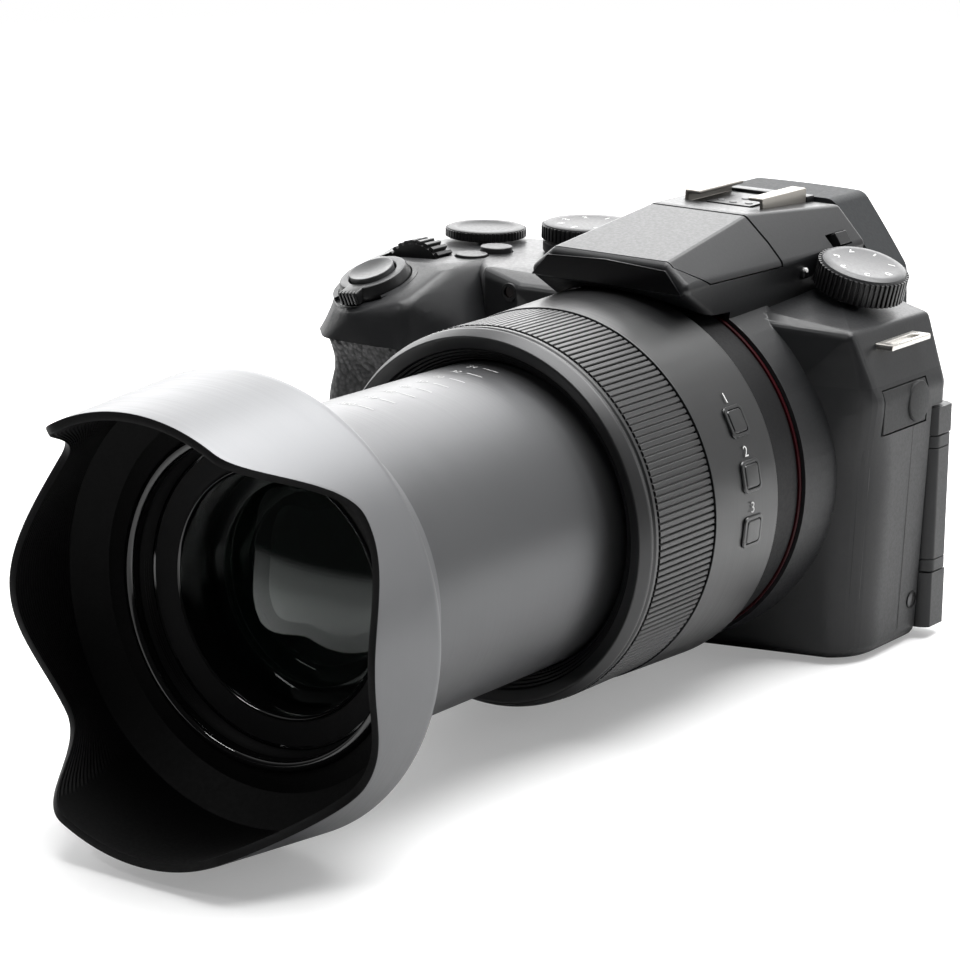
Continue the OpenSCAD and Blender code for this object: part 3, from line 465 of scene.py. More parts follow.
def ring_tree():
    """The node tree that sets copies of a shape round Z, and its inputs' identifiers."""
    tree = bpy.data.node_groups.new("set_out_round", "GeometryNodeTree")
    face = tree.interface
    face.new_socket("Geometry", in_out="INPUT", socket_type="NodeSocketGeometry")
    pins = {}
    for name, kind in (("Count", "Int"), ("Radius", "Float"), ("Step", "Float"),
                       ("Material", "Material")):
        pins[name] = face.new_socket(name, in_out="INPUT", socket_type="NodeSocket" + kind).identifier
    face.new_socket("Geometry", in_out="OUTPUT", socket_type="NodeSocketGeometry")
    new = tree.nodes.new
    link = tree.links.new
    given, result = new("NodeGroupInput"), new("NodeGroupOutput")
    index, angle = new("GeometryNodeInputIndex"), new("ShaderNodeMath")
    turn = new("ShaderNodeCombineXYZ")
    angle.operation = "MULTIPLY"
    link(index.outputs[0], angle.inputs[0])
    link(given.outputs["Step"], angle.inputs[1])
    link(angle.outputs[0], turn.inputs[2])
    spot, swing = new("ShaderNodeCombineXYZ"), new("ShaderNodeVectorRotate")
    swing.rotation_type = "Z_AXIS"
    link(given.outputs["Radius"], spot.inputs[0])
    link(spot.outputs[0], swing.inputs["Vector"])
    link(angle.outputs[0], swing.inputs["Angle"])
    points, place = new("GeometryNodePoints"), new("GeometryNodeInstanceOnPoints")
    link(given.outputs["Count"], points.inputs["Count"])
    link(swing.outputs[0], points.inputs["Position"])
    link(points.outputs[0], place.inputs["Points"])
    link(given.outputs["Geometry"], place.inputs["Instance"])
    link(turn.outputs[0], place.inputs["Rotation"])
    real, paint = new("GeometryNodeRealizeInstances"), new("GeometryNodeSetMaterial")
    link(place.outputs[0], real.inputs[0])
    link(real.outputs[0], paint.inputs["Geometry"])
    link(given.outputs["Material"], paint.inputs["Material"])
    link(paint.outputs[0], result.inputs[0])
    return tree, pins


RING_TREE, RING_PINS = ring_tree()


def set_out_round(name, shape, place, mat, count, radius):
    """Copies of one small shape set out round local Z, as one mesh. The shape's +X points outwards."""
    item = add_object(name, *shape, [mat])
    mod = item.modifiers.new("set_out", "NODES")
    mod.node_group = RING_TREE
    values = {"Count": count, "Radius": radius * MM, "Step": math.radians(360.0 / count),
              "Material": mat}
    for key, value in values.items():
        mod[RING_PINS[key]] = value
    made = evaluated(item)
    item.modifiers.clear()
    made.transform(Matrix.Scale(MM, 4) @ place @ Matrix.Scale(1 / MM, 4))
    made.set_sharp_from_angle(angle=math.radians(SHARP))
    item.data = made
    return item


def bar(x0, x1, half, z0, z1, soft):
    """A rib: a box with softened long edges on its outer side. X is outwards, Z along the rib."""
    section = [(x0, -half), (x1 - soft, -half), (x1, -half + soft), (x1, half - soft),
               (x1 - soft, half), (x0, half)]
    verts = [(x, y, z) for z in (z0, z1) for x, y in section]
    n = len(section)
    faces = [tuple(range(n - 1, -1, -1)), tuple(range(n, 2 * n))]
    faces += [(i, (i + 1) % n, n + (i + 1) % n, n + i) for i in range(n)]
    return verts, faces


# Printed marks

FIGURE_HEIGHT = 0.7


def numeral(text, height):
    """Flat points and faces of a number, centred, in millimetres."""
    curve = bpy.data.curves.new("numeral", "FONT")
    curve.body = text
    curve.align_x = "CENTER"
    curve.align_y = "CENTER"
    obj = bpy.data.objects.new("numeral", curve)
    bpy.context.scene.collection.objects.link(obj)
    mesh = evaluated(obj)
    scale = height / FIGURE_HEIGHT
    shape = [v.co * scale for v in mesh.vertices], [tuple(p.vertices) for p in mesh.polygons]
    bpy.data.objects.remove(obj)
    bpy.data.curves.remove(curve)
    bpy.data.meshes.remove(mesh)
    return shape


def stroke(x0, x1, y, width, parts=6):
    """A flat line along X, in short parts so that it can be wrapped."""
    verts = []
    for k in range(parts + 1):
        x = x0 + (x1 - x0) * k / parts
        verts += [Vector((x, y - width / 2, 0)), Vector((x, y + width / 2, 0))]
    faces = [(2 * k, 2 * k + 2, 2 * k + 3, 2 * k + 1) for k in range(parts)]
    return verts, faces


def wrapped(shape, where):
    """Flat points laid on a surface: where(x, y) gives the point."""
    return [where(v[0], v[1]) for v in shape[0]], shape[1]


def printed(name, shapes, node, mat=ink):
    """Flat shapes as one mark that rides with a node."""
    verts, faces = together(shapes)
    goes_with(add_object(name, verts, faces, [mat]), node)


def on_lens(radius, angle, along, across=True):
    """Lays x, y on the lens. With across, x runs round it and y forward, else x rearward and y round."""
    def where(x, y):
        turn = math.radians(angle) + (-x if across else y) / radius
        ahead = along + (y if across else -x)
        return ON_AXIS @ Vector((radius * math.cos(turn), radius * math.sin(turn), ahead))
    return where


# Lens

LENS_END = 160.0
HOOD_Y = 165.2
TUBE_R = 32.8
TUBE_BORE = 31.2
TUBE_BACK, TUBE_NOSE = 72.0, 152.0
BARREL_R = 41.3
RING_R = 39.7
RING_BACK, RING_NOSE = 63.2, 83.7
RING_RIBS = 180
NECK_BORE, NECK_R = 35.0, 39.0
HOOD_R = 45.6
HOOD_TAPER = 0.08
HOOD_WALL = 1.7
LIP_STEPS = 12
PETAL_LONG, PETAL_SHORT, PETAL_SIDE = 32.0, 11.0, 7.0
PETAL_FROM, PETAL_TO = 35.0, 64.0
SCALE_ANGLE = 92.6
SCALE = (("24", 91.0), ("35", 96.5), ("50", 102.5), ("70", 108.0), ("85", 113.5), ("100", 119.0),
         ("135", 125.5), ("200", 132.5))


def petal_edge(a):
    """How far the hood's front edge lies ahead of its rear edge, at an angle from the right side."""
    d = math.degrees(a) % 180.0
    d = min(d, 180.0 - d)
    if d >= PETAL_TO:
        return PETAL_LONG
    if d >= PETAL_FROM:
        rise = (1 - math.cos(math.pi * (d - PETAL_FROM) / (PETAL_TO - PETAL_FROM))) / 2
        return PETAL_SHORT + (PETAL_LONG - PETAL_SHORT) * rise
    return PETAL_SHORT + PETAL_SIDE * (1 + math.cos(math.pi * d / PETAL_FROM)) / 2


def hood_section(tip, rows, grooves):
    """The hood's wall at one angle, as (radius, height): out along its outside, back along its inside."""
    out = [(TUBE_R + 0.06, LENS_END - 8.8), (35.2, LENS_END - 8.8), (35.2, LENS_END - 3.5),
           (44.9, HOOD_Y - 0.55), (45.4, HOOD_Y - 0.1), (45.55, HOOD_Y + 0.4)]
    for k in range(1, rows):
        h = 0.4 + (tip - 0.4) * k / rows
        out.append((HOOD_R - HOOD_TAPER * h, HOOD_Y + h))
    edge = HOOD_R - HOOD_TAPER * tip
    out += [(edge - 0.05, HOOD_Y + tip), (edge - 0.35, HOOD_Y + tip + 0.12),
            (edge - HOOD_WALL + 0.35, HOOD_Y + tip + 0.12), (edge - HOOD_WALL, HOOD_Y + tip)]
    for k in range(grooves - 1, 0, -1):
        h = 1.2 + (tip - 1.2) * k / grooves
        out.append((HOOD_R - HOOD_TAPER * h - HOOD_WALL - 0.12 * (k % 2), HOOD_Y + h))
    out += [(43.8, HOOD_Y + 1.2), (37.8, LENS_END + 1.6)]
    for k in range(LIP_STEPS + 1):
        a = math.pi * k / LIP_STEPS
        out.append((32.65 + 1.25 * math.cos(a), LENS_END + 1.6 + 0.9 * math.sin(a)))
    return out + [(31.4, LENS_END + 0.3), (TUBE_R + 0.06, LENS_END + 0.3)]


def build_hood():
    """Petal hood: grey outside, grooved and black inside, with a shiny lip at its seat."""
    turns, rows, grooves = 360, 26, 46
    verts, faces, indices = [], [], []
    for i in range(turns):
        a = 2 * math.pi * i / turns
        section = hood_section(petal_edge(a), rows, grooves)
        verts += [ON_AXIS @ Vector((r * math.cos(a), r * math.sin(a), h)) for r, h in section]
    count = len(section)
    edge = 6 + rows - 1
    lip = count - 3 - LIP_STEPS
    for i in range(turns):
        j = (i + 1) % turns
        for k in range(count):
            m = (k + 1) % count
            faces.append((i * count + k, i * count + m, j * count + m, j * count + k))
            indices.append(0 if k < edge else 2 if lip <= k < lip + LIP_STEPS else 1)
    mats = [hood_paint, hood_inside, black_ring]
    stand_for(add_object("hood_look", verts, faces, mats, indices, sharp=28.0), "lens_hood")


def dome(top, curve, radius, foot, steps=24):
    """Half outline of a domed glass: from its top on the axis to its rim, down and back to the axis."""
    out = [(0.0, top)]
    for k in range(1, steps + 1):
        r = radius * k / steps
        out.append((r, top - curve + math.sqrt(curve ** 2 - r ** 2)))
    return out + [(radius, foot), (0.0, foot)]


def build_front():
    """Zoom tube, front ring and the glass."""
    tube = [(TUBE_BORE, TUBE_BACK), (TUBE_R, TUBE_BACK), (TUBE_R, TUBE_NOSE), (TUBE_BORE, TUBE_NOSE)]
    stand_for(lathe("zoom_tube_look", tube, ON_AXIS, [tube_paint]), "zoom_tube")
    thread = [(31.0 - 0.25 * (k % 2), LENS_END - 0.5 - 0.3 * k) for k in range(8)]
    front = [(24.0, 147.5), (TUBE_BORE, 147.5), (TUBE_BORE, TUBE_NOSE), (TUBE_R, TUBE_NOSE),
             (TUBE_R, LENS_END), (31.3, LENS_END)] + thread
    front += [(30.5, 157.0), (30.3, 157.3), (30.0, 157.3), (29.8, 157.0), (25.2, 156.0), (25.0, 156.3),
              (24.7, 156.45), (24.4, 156.3), (24.2, 155.9), (24.0, 153.7)]
    shiny = lambda r, h: 1 if r < 25.1 or (29.8 < r < 30.5 and h > 157.0) else 0
    ring = lathe("front_ring_look", front, ON_AXIS, [black_matt, black_ring], shiny, sharp=40.0)
    stand_for(ring, "front_ring")
    face = dome(154.9, 62.0, 24.0, 147.0)
    stand_for(disc_lathe("front_glass_look", face, ON_AXIS, [front_glass], turns=128), "front_lens")
    face = dome(152.6, 44.0, 20.5, 147.4)
    goes_with(disc_lathe("second_glass", face, ON_AXIS, [inner_glass], turns=128), "front_lens")
    marks = []
    for text, along in SCALE:
        where = on_lens(TUBE_R + PRINT_LIFT + 0.01, SCALE_ANGLE, along)
        marks.append(wrapped(numeral(text, 1.7), where))
        marks.append(wrapped(stroke(2.6, 6.4, 0.0, 0.32), where))
    printed("tube_scale", marks, "zoom_tube", scale_ink)


def build_barrel():
    """Fixed barrel's bezel, control ring, neck and red line."""
    bezel = rounded([(33.4, 84), (40.0, 84), (40.0, 84.8, 0.1), (39.6, 85.2, 0.1), (39.6, 85.7, 0.1),
                     (40.0, 86.1, 0.1), (39.9, 86.6, 0.2), (38.7, 89.0, 0.3), (38.3, 89.0, 0.2),
                     (35.9, 88.0, 0.2), (35.7, 87.3, 0.1), (35.2, 87.3, 0.1), (35.0, 86.7, 0.1),
                     (34.5, 86.7, 0.1), (34.3, 86.1, 0.1), (33.9, 86.1, 0.1), (33.7, 85.5, 0.1),
                     (33.4, 85.5)])
    # The outer front chamfer (zone 2) is painted lighter grey as a painted highlight along the rim; the inner
    # steps are matt black.
    zone = lambda r, h: 2 if r > 38.4 and h > 86.5 else (0 if r > 36.0 else 1)
    rim = lathe("bezel_look", bezel, ON_AXIS, [barrel_paint, black_matt, bezel_rim_painted_highlight], zone)
    stand_for(rim, "barrel_bezel")
    sleeve = rounded([(38.0, RING_BACK), (RING_R, RING_BACK, 0.2), (RING_R, RING_NOSE, 0.2),
                      (38.0, RING_NOSE)])
    stand_for(lathe("control_ring_look", sleeve, ON_AXIS, [ring_rubber]), "control_ring")
    rib = bar(-0.4, 0.5, 0.54, RING_BACK + 0.1, RING_NOSE - 0.2, 0.16)
    ribs = set_out_round("control_ring_ribs", rib, ON_AXIS, ring_rubber, RING_RIBS, RING_R)
    goes_with(ribs, "control_ring")
    neck = [(NECK_BORE, 15), (NECK_R, 15), (NECK_R, 39.0), (NECK_BORE, 39.0)]
    stand_for(lathe("neck_look", neck, ON_AXIS, [black_matt]), "neck_ring")
    line = rounded([(NECK_R, 27.0), (39.5, 27.0, 0.15), (39.5, 27.8, 0.15), (NECK_R, 27.8)])
    stand_for(lathe("accent_look", line, ON_AXIS, [accent]), "accent_ring")


def square_outline(half, corner, steps=6):
    """Points round a square with rounded corners."""
    out = []
    for n in range(4):
        a0 = math.radians(90 * n)
        c = Matrix.Rotation(a0, 2) @ Vector((half - corner, half - corner))
        for k in range(steps + 1):
            a = a0 + math.radians(90.0 * k / steps)
            out.append((c.x + corner * math.cos(a), c.y + corner * math.sin(a)))
    return out


# Half width, corner radius and height above the barrel of each step of a lens button and its frame
BUTTON_ROWS = ((2.5, 0.7, -0.9), (2.5, 0.7, 0.0), (2.3, 0.6, 0.22), (1.9, 0.5, 0.26))
FRAME_ROWS = ((2.68, 0.8, -0.5), (2.68, 0.8, 0.10), (2.95, 1.0, 0.16), (3.3, 1.2, 0.10),
              (3.45, 1.3, -0.2))


def on_barrel(rows, angle, along):
    """Rounded squares laid one above the other on the barrel: points, side faces and points to a row."""
    verts = []
    for half, corner, lift in rows:
        where = on_lens(BARREL_R + lift, angle, along, across=False)
        verts += [where(x, y) for x, y in square_outline(half, corner)]
    count = len(verts) // len(rows)
    faces = []
    for k in range(len(rows) - 1):
        for i in range(count):
            j = (i + 1) % count
            faces.append((k * count + i, k * count + j, (k + 1) * count + j, (k + 1) * count + i))
    return verts, faces, count


def build_lens_buttons():
    """Rounded square buttons on the barrel, each in a raised frame with a plain number above it."""
    frames, labels = [], []
    for n in (1, 2, 3):
        node = "lens_button_%d" % n
        spot = middle(node)
        angle = math.degrees(math.atan2(spot.z - AXIS_H, spot.x))
        along = -spot.y
        verts, faces, count = on_barrel(BUTTON_ROWS, angle, along)
        faces += [tuple(range(count)), tuple(range(len(verts) - count, len(verts)))]
        stand_for(add_object(node + "_look", verts, faces, [barrel_paint]), node)
        frames.append(on_barrel(FRAME_ROWS, angle, along)[:2])
        above = on_lens(BARREL_R + PRINT_LIFT, angle + 7.2, along + 0.6, across=False)
        labels.append(wrapped(numeral(str(n), 2.3), above))
    verts, faces = together(frames)
    goes_with(add_object("lens_button_frames", verts, faces, [barrel_paint]), "lens_barrel")
    printed("lens_button_numbers", labels, "lens_barrel")


build_hood()
build_front()
build_barrel()
build_lens_buttons()


# Controls

def dial(node, place, height, teeth, depth, chamfer=0.5, dish=0.15, shaft=2.0, top=dial_top):
    """A knurled dial: a dished, chamfered top on a body with ribs round it."""
    low, high = span(node, place)
    reach, face, foot = high[0], high[2], low[2]
    body, base = reach - depth, face - height
    outline = [(0, face - dish), (0.70 * body, face - dish), (0.76 * body, face), (body - chamfer, face),
               (body - 0.3 * chamfer, face - 0.35 * chamfer), (body, face - chamfer), (body, base),
               (shaft, base), (shaft, foot), (0, foot)]
    on_top = lambda r, h: 1 if h > face - 0.8 * chamfer else 0
    stand_for(disc_lathe(node + "_look", outline, place, [control, top], on_top), node)
    half = math.pi * reach / teeth * 0.55
    rib = bar(-0.4, depth, half, base + 0.15, face - 0.8 * chamfer, min(0.3 * half, 0.5 * depth))
    goes_with(set_out_round(node + "_ribs", rib, place, control, teeth, body), node)
    return face, body


def ring_marks(name, node, place, radius, height, words, size, start, step):
    """Plain numbers set round a dial's top."""
    shapes = []
    for k, word in enumerate(words):
        turn = Matrix.Rotation(math.radians(start + step * k), 4, "Z")
        spot = place @ turn @ Matrix.Translation((0, radius, height))
        shapes.append(moved(numeral(word, size), spot))
    printed(name, shapes, node)


DRIVE_INDEX = Vector((22.6, 0.2, 83.1))


def build_dials():
    """The four dials, two with plain numbers, and the drive dial's index beside the hump."""
    place = joint_place("drive_dial_turn")
    face, body = dial("drive_dial", place, 6.4, 52, 0.5, chamfer=1.1, dish=0.1)
    ring_marks("drive_marks", "drive_dial", place, 0.68 * body, face - 0.05, "1234567", 2.3, 10, 51.4)
    verts, faces = block((21.4, -1.0, 81.2), (23.2, 1.2, 83.2), 0.5)
    goes_with(add_object("drive_index_post", verts, faces, [control]), "top_cover")
    bead = [(0, 0.5), (0.5, 0.4), (0.75, 0.0), (0.75, -0.5), (0, -0.5)]
    index = disc_lathe("drive_index", bead, Matrix.Translation(DRIVE_INDEX), [ink], turns=24)
    goes_with(index, "top_cover")
    place = joint_place("mode_dial_turn")
    face, body = dial("mode_dial", place, 3.7, 56, 0.4, chamfer=0.6, top=button_top)
    ring_marks("mode_marks", "mode_dial", place, 0.62 * body, face - 0.1, "12345678", 1.9, 0, 45)
    place = joint_place("rear_dial_turn")
    dial("rear_dial", place, 2.3, 60, 0.35, chamfer=0.4, dish=0.3, top=button_top)
    place = joint_place("front_dial_turn")
    dial("front_dial", place, 5.8, 30, 0.9, chamfer=0.3, shaft=1.2, top=control)


def build_release():
    """Shutter button with a dished top, and the zoom lever's ring with its ribbed tab."""
    place = joint_place("zoom_lever_turn")
    low, high = span("shutter_button", place)
    reach, face = high[0], high[2]
    bowl = reach - 0.5
    outline = [(0, face - 0.7)]
    outline += [(bowl * k / 8, face - 0.7 + 0.65 * (k / 8) ** 2) for k in range(1, 9)]
    outline += [(reach - 0.2, face), (reach - 0.05, face - 0.1), (reach, face - 0.3), (reach, low[2]),
                (0, low[2])]
    stand_for(disc_lathe("shutter_look", outline, place, [dial_top]), "shutter_button")
    low, high = span("zoom_lever", place)
    top = high[2]
    wide = high[0]
    ring = rounded([(reach + 0.3, low[2]), (reach + 1.2, low[2]), (reach + 1.2, 0.3), (wide, 0.3, 0.15),
                    (wide, 1.2, 0.3), (wide - 0.8, top - 0.1, 0.3), (reach + 0.6, top - 0.1, 0.25),
                    (reach + 0.3, top - 0.5, 0.2)])
    on_top = lambda r, h: 1 if h > top - 0.3 else 0
    lever = lathe("zoom_lever_look", ring, place, [control, dial_top], on_top, turns=96)
    stand_for(lever, "zoom_lever")
    shapes = [block((-2.6, low[1] + 0.35, 0.3), (2.6, low[1] + 5.0, top), 0.5)]
    for x in (-2.0, -1.0, 0.0, 1.0, 2.0):
        shapes.append(block((x - 0.28, low[1], 0.5), (x + 0.28, low[1] + 1.4, top + 0.15), 0.2))
    verts, faces = moved(together(shapes), place)
    goes_with(add_object("zoom_lever_tab", verts, faces, [control]), "zoom_lever")


def round_button(node, mats, edge=0.5, dish=0.0):
    """A round button with a softened edge on a thinner stem."""
    low, high = span(node)
    spot = middle(node)
    reach = (high[0] - low[0]) / 2
    place = Matrix.Translation((spot.x, spot.y, 0))
    face = high[2]
    outline = [(0, face - dish), (0.6 * reach, face - 0.7 * dish), (reach - edge, face),
               (reach - 0.35 * edge, face - 0.12 * edge), (reach - 0.08 * edge, face - 0.4 * edge),
               (reach, face - edge), (reach, face - 1.6), (0.5 * reach, face - 1.6),
               (0.5 * reach, low[2]), (0, low[2])]
    stand_for(disc_lathe(node + "_look", outline, place, mats), node)


build_dials()
build_release()
round_button("record_button", [button_top], 0.4)
round_button("function_button", [button_top], 0.25, dish=0.1)


# Covers and other pieces that keep their CAD form, with softened edges

def eased(t):
    """0 to 1 in a smooth step."""
    t = max(0.0, min(1.0, t))
    return t * t * (3 - 2 * t)


def bisected(bm, spots, normal):
    """Cuts a mesh with parallel planes through the given points."""
    for spot in spots:
        everything = bm.verts[:] + bm.edges[:] + bm.faces[:]
        bmesh.ops.bisect_plane(bm, geom=everything, plane_co=Vector(spot) * MM, plane_no=normal)


GRIP_MIDDLE = Vector((-66.0, -15.0))
GRIP_EDGE_X, SKIN_EDGE_X, TOP_EDGE_X = -47.0, -50.0, -48.0
SKIN_PASSES, TOP_PASSES = 12, 40
SEAT_CLEAR = 12.5
SIDE_FLAT_X = 49.4
WAIST_Z, WAIST_REACH, WAIST_DEPTH = 56.0, 6.0, 2.2
SEAM_Z = 62.0
SPLIT_Y = 5.0


def waisted(bm):
    """Draws the grip in below its top cover."""
    for v in bm.verts:
        x, y, z = v.co / MM
        if x > GRIP_EDGE_X:
            continue
        away = (Vector((x, y)) - GRIP_MIDDLE).normalized()
        draw = WAIST_DEPTH * math.exp(-((z - WAIST_Z) / WAIST_REACH) ** 2)
        draw *= eased((SPLIT_Y - y) / 12.0) * eased((GRIP_EDGE_X - x) / 6.0)
        v.co.x -= away.x * draw * MM
        v.co.y -= away.y * draw * MM


def creased(v, angle=55.0):
    """Whether a point lies on an edge sharper than an angle in degrees."""
    return any(e.calc_face_angle(math.pi) > math.radians(angle) for e in v.link_edges)


def eased_out(bm, loose, passes, upright=True):
    """Smooths some points of a mesh, in plan alone unless upright."""
    for _ in range(passes):
        bmesh.ops.smooth_vert(bm, verts=loose, factor=0.5, use_axis_x=True, use_axis_y=True,
                              use_axis_z=upright)


def shape_skin(bm):
    """Rounds the grip's corners in plan and draws its waist in."""
    bisected(bm, [(x, 0, 0) for x in range(-84, -48, 2)], (1, 0, 0))
    bisected(bm, [(0, y, 0) for y in range(-44, 16, 2)], (0, 1, 0))
    bisected(bm, [(0, 0, z) for z in range(6, 62, 2)], (0, 0, 1))
    loose = [v for v in bm.verts if v.co.x < SKIN_EDGE_X * MM and not creased(v, 75.0)]
    eased_out(bm, loose, SKIN_PASSES, upright=False)
    waisted(bm)


BODY_EDGE = 4.0
CORNER_R = 13.0
SIDE_X, SIDE_LEAN = 46.43, 0.04
FRONT_SPOT, FRONT_NORMAL = Vector((41.0, -14.9)), Vector((0.28, -0.96))


def corner_centre(z, r):
    """Centre of the body's right front corner at a height, for a plan radius r."""
    x = SIDE_X + SIDE_LEAN * z - r
    return Vector((x, FRONT_SPOT.y + (r + FRONT_NORMAL.x * (x - FRONT_SPOT.x)) / -FRONT_NORMAL.y))


def round_corner(bm):
    """The body's right front corner widens from a small radius at the seam to a large one below it."""
    hub = corner_centre(36.0, CORNER_R)
    for a in range(-78, 7, 6):
        turn = math.radians(a + 90)
        bisected(bm, [(hub.x, hub.y, 0)], (math.cos(turn), math.sin(turn), 0))
    bisected(bm, [(0, 0, z) for z in range(4, 62, 4)], (0, 0, 1))
    for v in bm.verts:
        x, y, z = v.co / MM
        r = BODY_EDGE + (CORNER_R - BODY_EDGE) * eased((SEAM_Z - z) / 20.0)
        hub = corner_centre(z, r)
        low = max(0.0, BODY_EDGE - z)
        limit = r - BODY_EDGE + math.sqrt(BODY_EDGE ** 2 - low ** 2)
        arm = Vector((x, y)) - hub
        ahead = (Vector((x, y)) - FRONT_SPOT).dot(FRONT_NORMAL)
        bearing = math.degrees(math.atan2(arm.y, arm.x))
        if arm.length > limit and -76.0 < bearing < 2.0 and ahead < 0.6:
            v.co.x, v.co.y = (hub + arm * (limit / arm.length)) * MM


def shape_front(bm):
    """Front cover: the rounded corner, and the waist under the grip's skin."""
    round_corner(bm)
    waisted(bm)


def smooth_grip_top(bm):
    """The cover over the grip is one soft form: its facets are cut finer and eased into each other."""
    bisected(bm, [(x, 0, 0) for x in range(-85, -46, 2)], (1, 0, 0))
    bisected(bm, [(0, y, 0) for y in range(-44, -8, 2)], (0, 1, 0))
    bisected(bm, [(0, 0, z) for z in range(64, 78, 2)], (0, 0, 1))
    seat = joint_place("zoom_lever_turn").translation
    loose = []
    for v in bm.verts:
        p = v.co / MM
        free = p.x < TOP_EDGE_X and p.z > SEAM_Z + 0.6 and (p - seat).length > SEAT_CLEAR
        if free and not creased(v):
            loose.append(v)
    eased_out(bm, loose, TOP_PASSES)


def flat_side(bm):
    """The screen's edge is a flat strip between its round corners."""
    for v in bm.verts:
        v.co.x = min(v.co.x, SIDE_FLAT_X * MM)


softened("grip_skin", [leather], 0.3, angle=75.0, sharp=70.0, shape=shape_skin)
softened("front_cover", [cover], 0.3, shape=shape_front)
softened("base_plate", [cover], 0.2, shape=round_corner)
softened("rear_cover", [cover], 0.25, shape=flat_side)
softened("top_cover", [top_finish], 0.25, sharp=24.0, shape=smooth_grip_top)
softened("screen_frame", [cover], 0.5, shape=flat_side)
softened("screen_hinge", [cover], 0.2, shape=flat_side)
in_shoe = lambda at: 1 if at.z < 95.0 and abs(at.x) < 9.0 else 0
softened("hot_shoe", [shoe_steel, top_finish], 0.3, pick=in_shoe)
for name, mat, width in (
        ("hump_plate", plate_black, 0.2), ("thumb_rest", leather, 0.6), ("shoe_contacts", control, 0.1),
        ("eyecup", cup_rubber, 0.9), ("eyepiece_lens", eye_glass, 0.2), ("finder_unit", black_matt, 0.2),
        ("strap_lugs", steel, 0.2), ("tripod_socket", steel, 0.2), ("battery", cell_shell, 0.5),
        ("main_board", board, 0.0), ("chassis", dark_steel, 0.1), ("image_sensor", board, 0.0),
        ("cover_screws", dark_steel, 0.1), ("focus_lamp", lamp, 0.1),
        ("lens_barrel", barrel_paint, 0.15), ("guide_tube", black_matt, 0.0),
        ("rear_lens_group", inner_glass, 0.0), ("zoom_motor", dark_steel, 0.2),
        ("inner_lens_group", inner_glass, 0.0), ("flash_lid", top_finish, 0.25),
        ("flash_tube", flash_white, 0.2), ("flash_switch", control, 0.2), ("power_lever", control, 0.3),
        ("screen_glass", screen_gloss, 0.1), ("diopter_wheel", control, 0.1),
        ("battery_door", cover, 0.15), ("mic_door", door_rubber, 0.25), ("port_door", door_rubber, 0.25),
        ("cursor_pad", control, 0.3), ("set_button", dial_top, 0.3), ("play_button", dial_top, 0.3),
        ("lock_button", dial_top, 0.3), ("menu_button", dial_top, 0.3)):
    softened(name, [mat], width)


# Small details on the back and sides

def triangle(x, y, size, turn):
    """A flat pointer at x, y that points right before it is turned."""
    corners = [(0.62 * size, 0.0), (-0.38 * size, 0.55 * size), (-0.38 * size, -0.55 * size)]
    c, s = math.cos(turn), math.sin(turn)
    return [Vector((x + c * u - s * v, y + s * u + c * v, 0)) for u, v in corners], [(0, 1, 2)]


def behind_node(node):
    """Lays x, y flat on the rear face of a node, as seen from behind the camera."""
    spot, face = middle(node), span(node)[1][1] + PRINT_LIFT
    return lambda x, y: Vector((spot.x - x, face, spot.z + y))


def build_back_marks():
    """Pointers on the cursor pad, plain signs on the small buttons."""
    low, high = span("cursor_pad")
    reach = 0.72 * (high[0] - low[0]) / 2
    turns = [k * math.pi / 2 for k in range(4)]
    pointers = [triangle(reach * math.cos(a), reach * math.sin(a), 1.3, a) for a in turns]
    printed("cursor_marks", [wrapped(t, behind_node("cursor_pad")) for t in pointers], "cursor_pad")
    sign = triangle(0.0, 0.0, 1.6, 0.0)
    printed("play_mark", [wrapped(sign, behind_node("play_button"))], "play_button")
    lines = [stroke(-0.8, 0.8, y, 0.26) for y in (-0.6, 0.0, 0.6)]
    printed("menu_mark", [wrapped(line, behind_node("menu_button")) for line in lines], "menu_button")


def build_side_details():
    """The microphone door's pull, a cover screw, a black strip painted along the side seam as the painted shadow
    of its gap, the lamp's rim and the shoe's stop.
    """
    pull = Matrix.Translation((48.7, 6.6, 56.3)) @ Matrix.Rotation(math.radians(88), 4, "Y")
    pad = [(0, 0.45), (4.0, 0.45), (4.4, 0.35), (4.6, 0.1), (4.6, -0.5), (0, -0.5)]
    goes_with(disc_lathe("mic_door_pull", pad, pull, [door_rubber], turns=64), "mic_door")
    spot = Matrix.Translation((46.9, 10.6, 9.7)) @ Matrix.Rotation(math.radians(92), 4, "Y")
    head = [(0, 0.0), (1.2, 0.0), (1.4, -0.1), (1.45, -0.3), (1.75, -0.3), (1.8, 0.12), (2.0, 0.12),
            (2.05, -0.6), (0, -0.6)]
    rim = lambda r, h: 1 if r > 1.42 else 0
    screw = disc_lathe("side_screw", head, spot, [dark_steel, black_matt], rim, turns=32)
    goes_with(screw, "rear_cover")
    # The black strip just above the body's side along the seam is painted shade: it stands for the shadow in the
    # gap between the front and rear covers.
    edges = (SPLIT_Y - 0.13, SPLIT_Y + 0.13)
    seam = [(SIDE_X + SIDE_LEAN * z + PRINT_LIFT, y, z) for z in (4.2, 50.9) for y in edges]
    goes_with(add_object("painted_seam_shadow", seam, [(0, 1, 3, 2)], [black_matt]), "front_cover")
    front = span("focus_lamp")[0][1]
    spot = middle("focus_lamp")
    place = Matrix.Translation((spot.x, front - 0.1, spot.z)) @ Matrix.Rotation(math.radians(90), 4, "X")
    hoop = rounded([(1.3, -0.4), (2.1, -0.4), (2.1, 0.35, 0.15), (1.3, 0.35, 0.15)])
    goes_with(lathe("lamp_rim", hoop, place, [black_matt], turns=48), "top_cover")
    verts, faces = block((-10.2, 21.2, 93.5), (10.2, 24.6, 95.1), 0.2)
    goes_with(add_object("shoe_stop", verts, faces, [top_finish]), "top_cover")


build_side_details()
build_back_marks()


# Camera, light and floor

